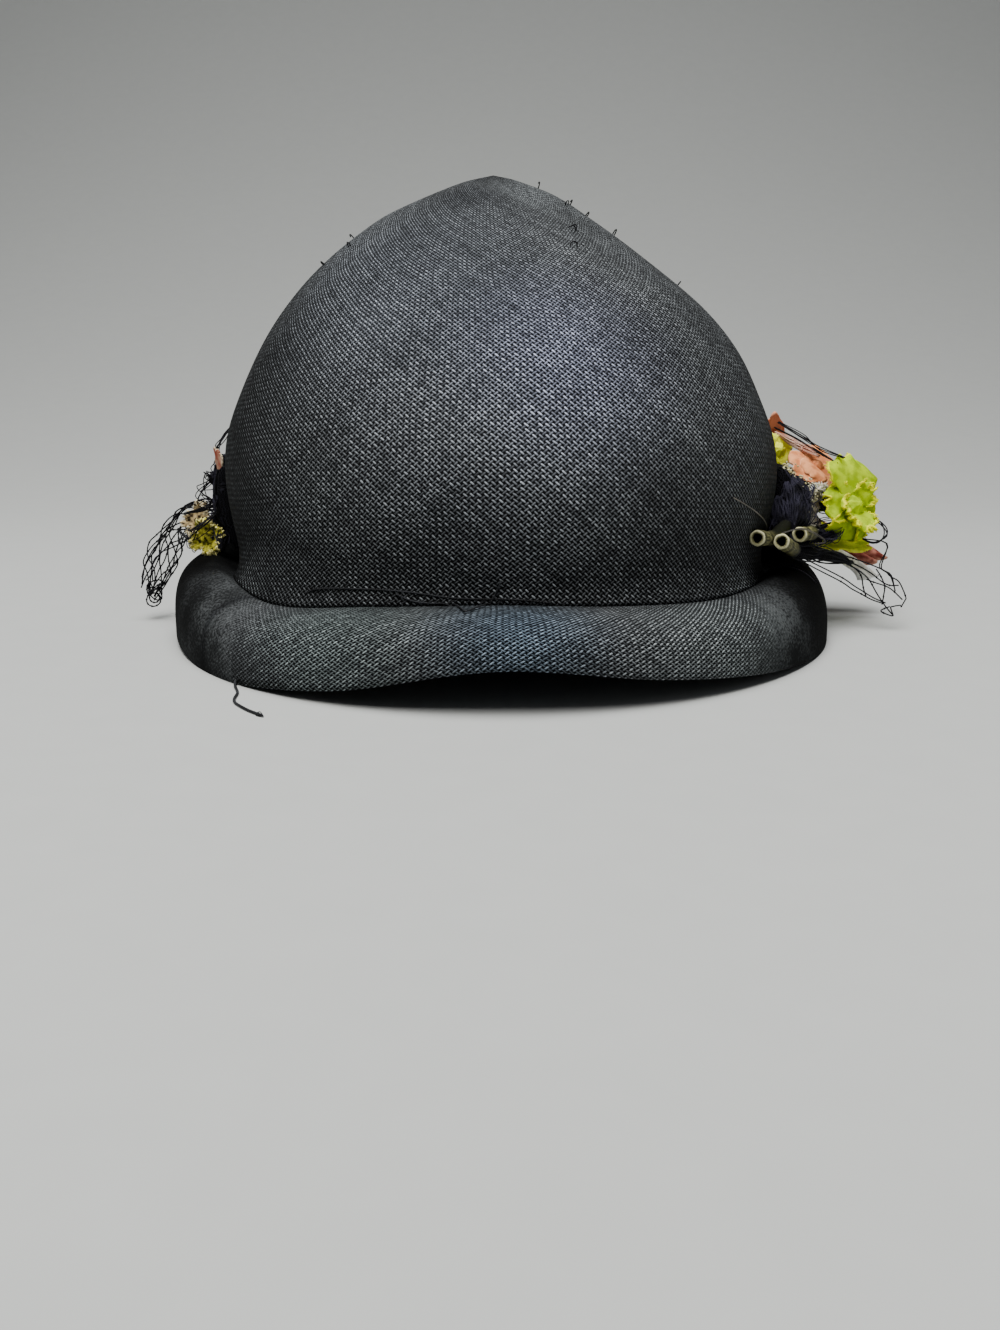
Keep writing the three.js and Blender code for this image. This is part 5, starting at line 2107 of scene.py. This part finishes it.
@dataclass
class Studio:
    """Pale sweep, soft lights and the camera."""

    sweep_half: float = 2.2
    bend_from: float = 0.3
    bend_radius: float = 1.5
    lens: float = 32.48
    sensor: float = 36.0
    camera_place: Point = (0.0, -0.380, 0.0763)
    camera_pitch: float = 13.6

    def sweep(self) -> None:
        """Floor that runs level and then bends up into a wall: level, arc and upright, carried along X."""
        turn = np.linspace(0, np.pi / 2, 48)
        level = np.stack([np.linspace(-2.0, self.bend_from, 30), np.zeros(30)], axis=-1)
        arc = self.bend_radius * np.stack([np.sin(turn), 1 - np.cos(turn)], axis=-1) + (self.bend_from, 0.0)
        wall = np.stack([np.full(8, arc[-1, 0]), np.linspace(arc[-1, 1] + 0.1, 2.8, 8)], axis=-1)
        path = np.concatenate([level, arc[1:], wall])
        x = np.linspace(-self.sweep_half, self.sweep_half, 20)
        points = np.stack(np.broadcast_arrays(x[None, :], path[:, :1], path[:, 1:]), axis=-1) / MM
        surface = Surface(points.reshape(-1, 3), grid_quads(len(path), 20))
        coat = Coat("pale_paper")
        fibres = coat.noise(coat.place, 90.0, 4.0)
        coat.set(Base_Color=coat.blend(fibres, (0.45, 0.465, 0.457), (0.48, 0.495, 0.487)), Roughness=0.9)
        made = bpy.data.objects.new("sweep", surface.mesh("sweep"))
        made.data.materials.append(coat.material)
        bpy.context.scene.collection.objects.link(made)

    def light(self, name: str, place: Point, aim: Point, size: float, power: float, tint: Colour) -> None:
        """A square soft light at a place, turned to its aim.

        Args:
            name: The light's name.
            place: Where it stands, in metres.
            aim: The point that it faces.
            size: Length of its sides.
            power: Its power in watts.
            tint: Its colour.
        """
        lamp = bpy.data.lights.new(name, "AREA")
        lamp.size, lamp.energy, lamp.color = size, power, tint
        made = bpy.data.objects.new(name, lamp)
        made.location = place
        towards = Vector(np.subtract(aim, place))
        made.rotation_euler = towards.to_track_quat("-Z", "Y").to_euler()
        bpy.context.scene.collection.objects.link(made)

    def lights(self) -> None:
        """A light above, a key over the camera, a weak fill at the right and an even surround."""
        hat = (0.0, 0.0, 0.06)
        self.light("top", (-0.05, -0.1, 1.25), hat, 0.8, 20.0, (1.0, 0.99, 0.97))
        self.light("key", (-0.2, -0.62, 1.1), hat, 0.6, 12.0, (1.0, 0.98, 0.95))
        self.light("fill", (1.1, -0.6, 0.5), hat, 0.7, 0.6, (0.95, 0.97, 1.0))
        world = bpy.data.worlds.new("surround")
        world.use_nodes = True
        world.node_tree.nodes["Background"].inputs["Color"].default_value = (0.82, 0.85, 0.88, 1.0)
        world.node_tree.nodes["Background"].inputs["Strength"].default_value = 0.12
        bpy.context.scene.world = world

    def camera(self) -> None:
        """The camera behind the hat, pitched down."""
        data = bpy.data.cameras.new("camera")
        data.lens, data.sensor_width = self.lens, self.sensor
        data.clip_start, data.clip_end = 0.01, 20.0
        made = bpy.data.objects.new("camera", data)
        made.location = self.camera_place
        made.rotation_euler = (np.radians(90.0 - self.camera_pitch), 0.0, 0.0)
        bpy.context.scene.collection.objects.link(made)
        bpy.context.scene.camera = made

    def build(self) -> None:
        """Sets up the whole studio."""
        self.camera()
        self.sweep()
        self.lights()


def main() -> None:
    """Builds the studio and the hat's pieces in order."""
    logging.basicConfig(level=logging.INFO, format="%(name)s: %(message)s")
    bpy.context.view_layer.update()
    Studio().build()
    finishes = Finishes()
    brim = Brim()
    crown = Crown(brim)
    threads = LooseThreads(crown, brim)
    threads.floor_thread(finishes)
    crown.dress(finishes)
    brim.dress(finishes)
    band = NetBand(crown)
    band.dress(finishes)
    for part in (*FLOWERS, *LEAVES, *STEMS, *NET_TAILS):
        part.dress(band, finishes)
    dress_wisps(finishes)
    threads.dress(finishes)


if __name__ == "__main__":
    main()
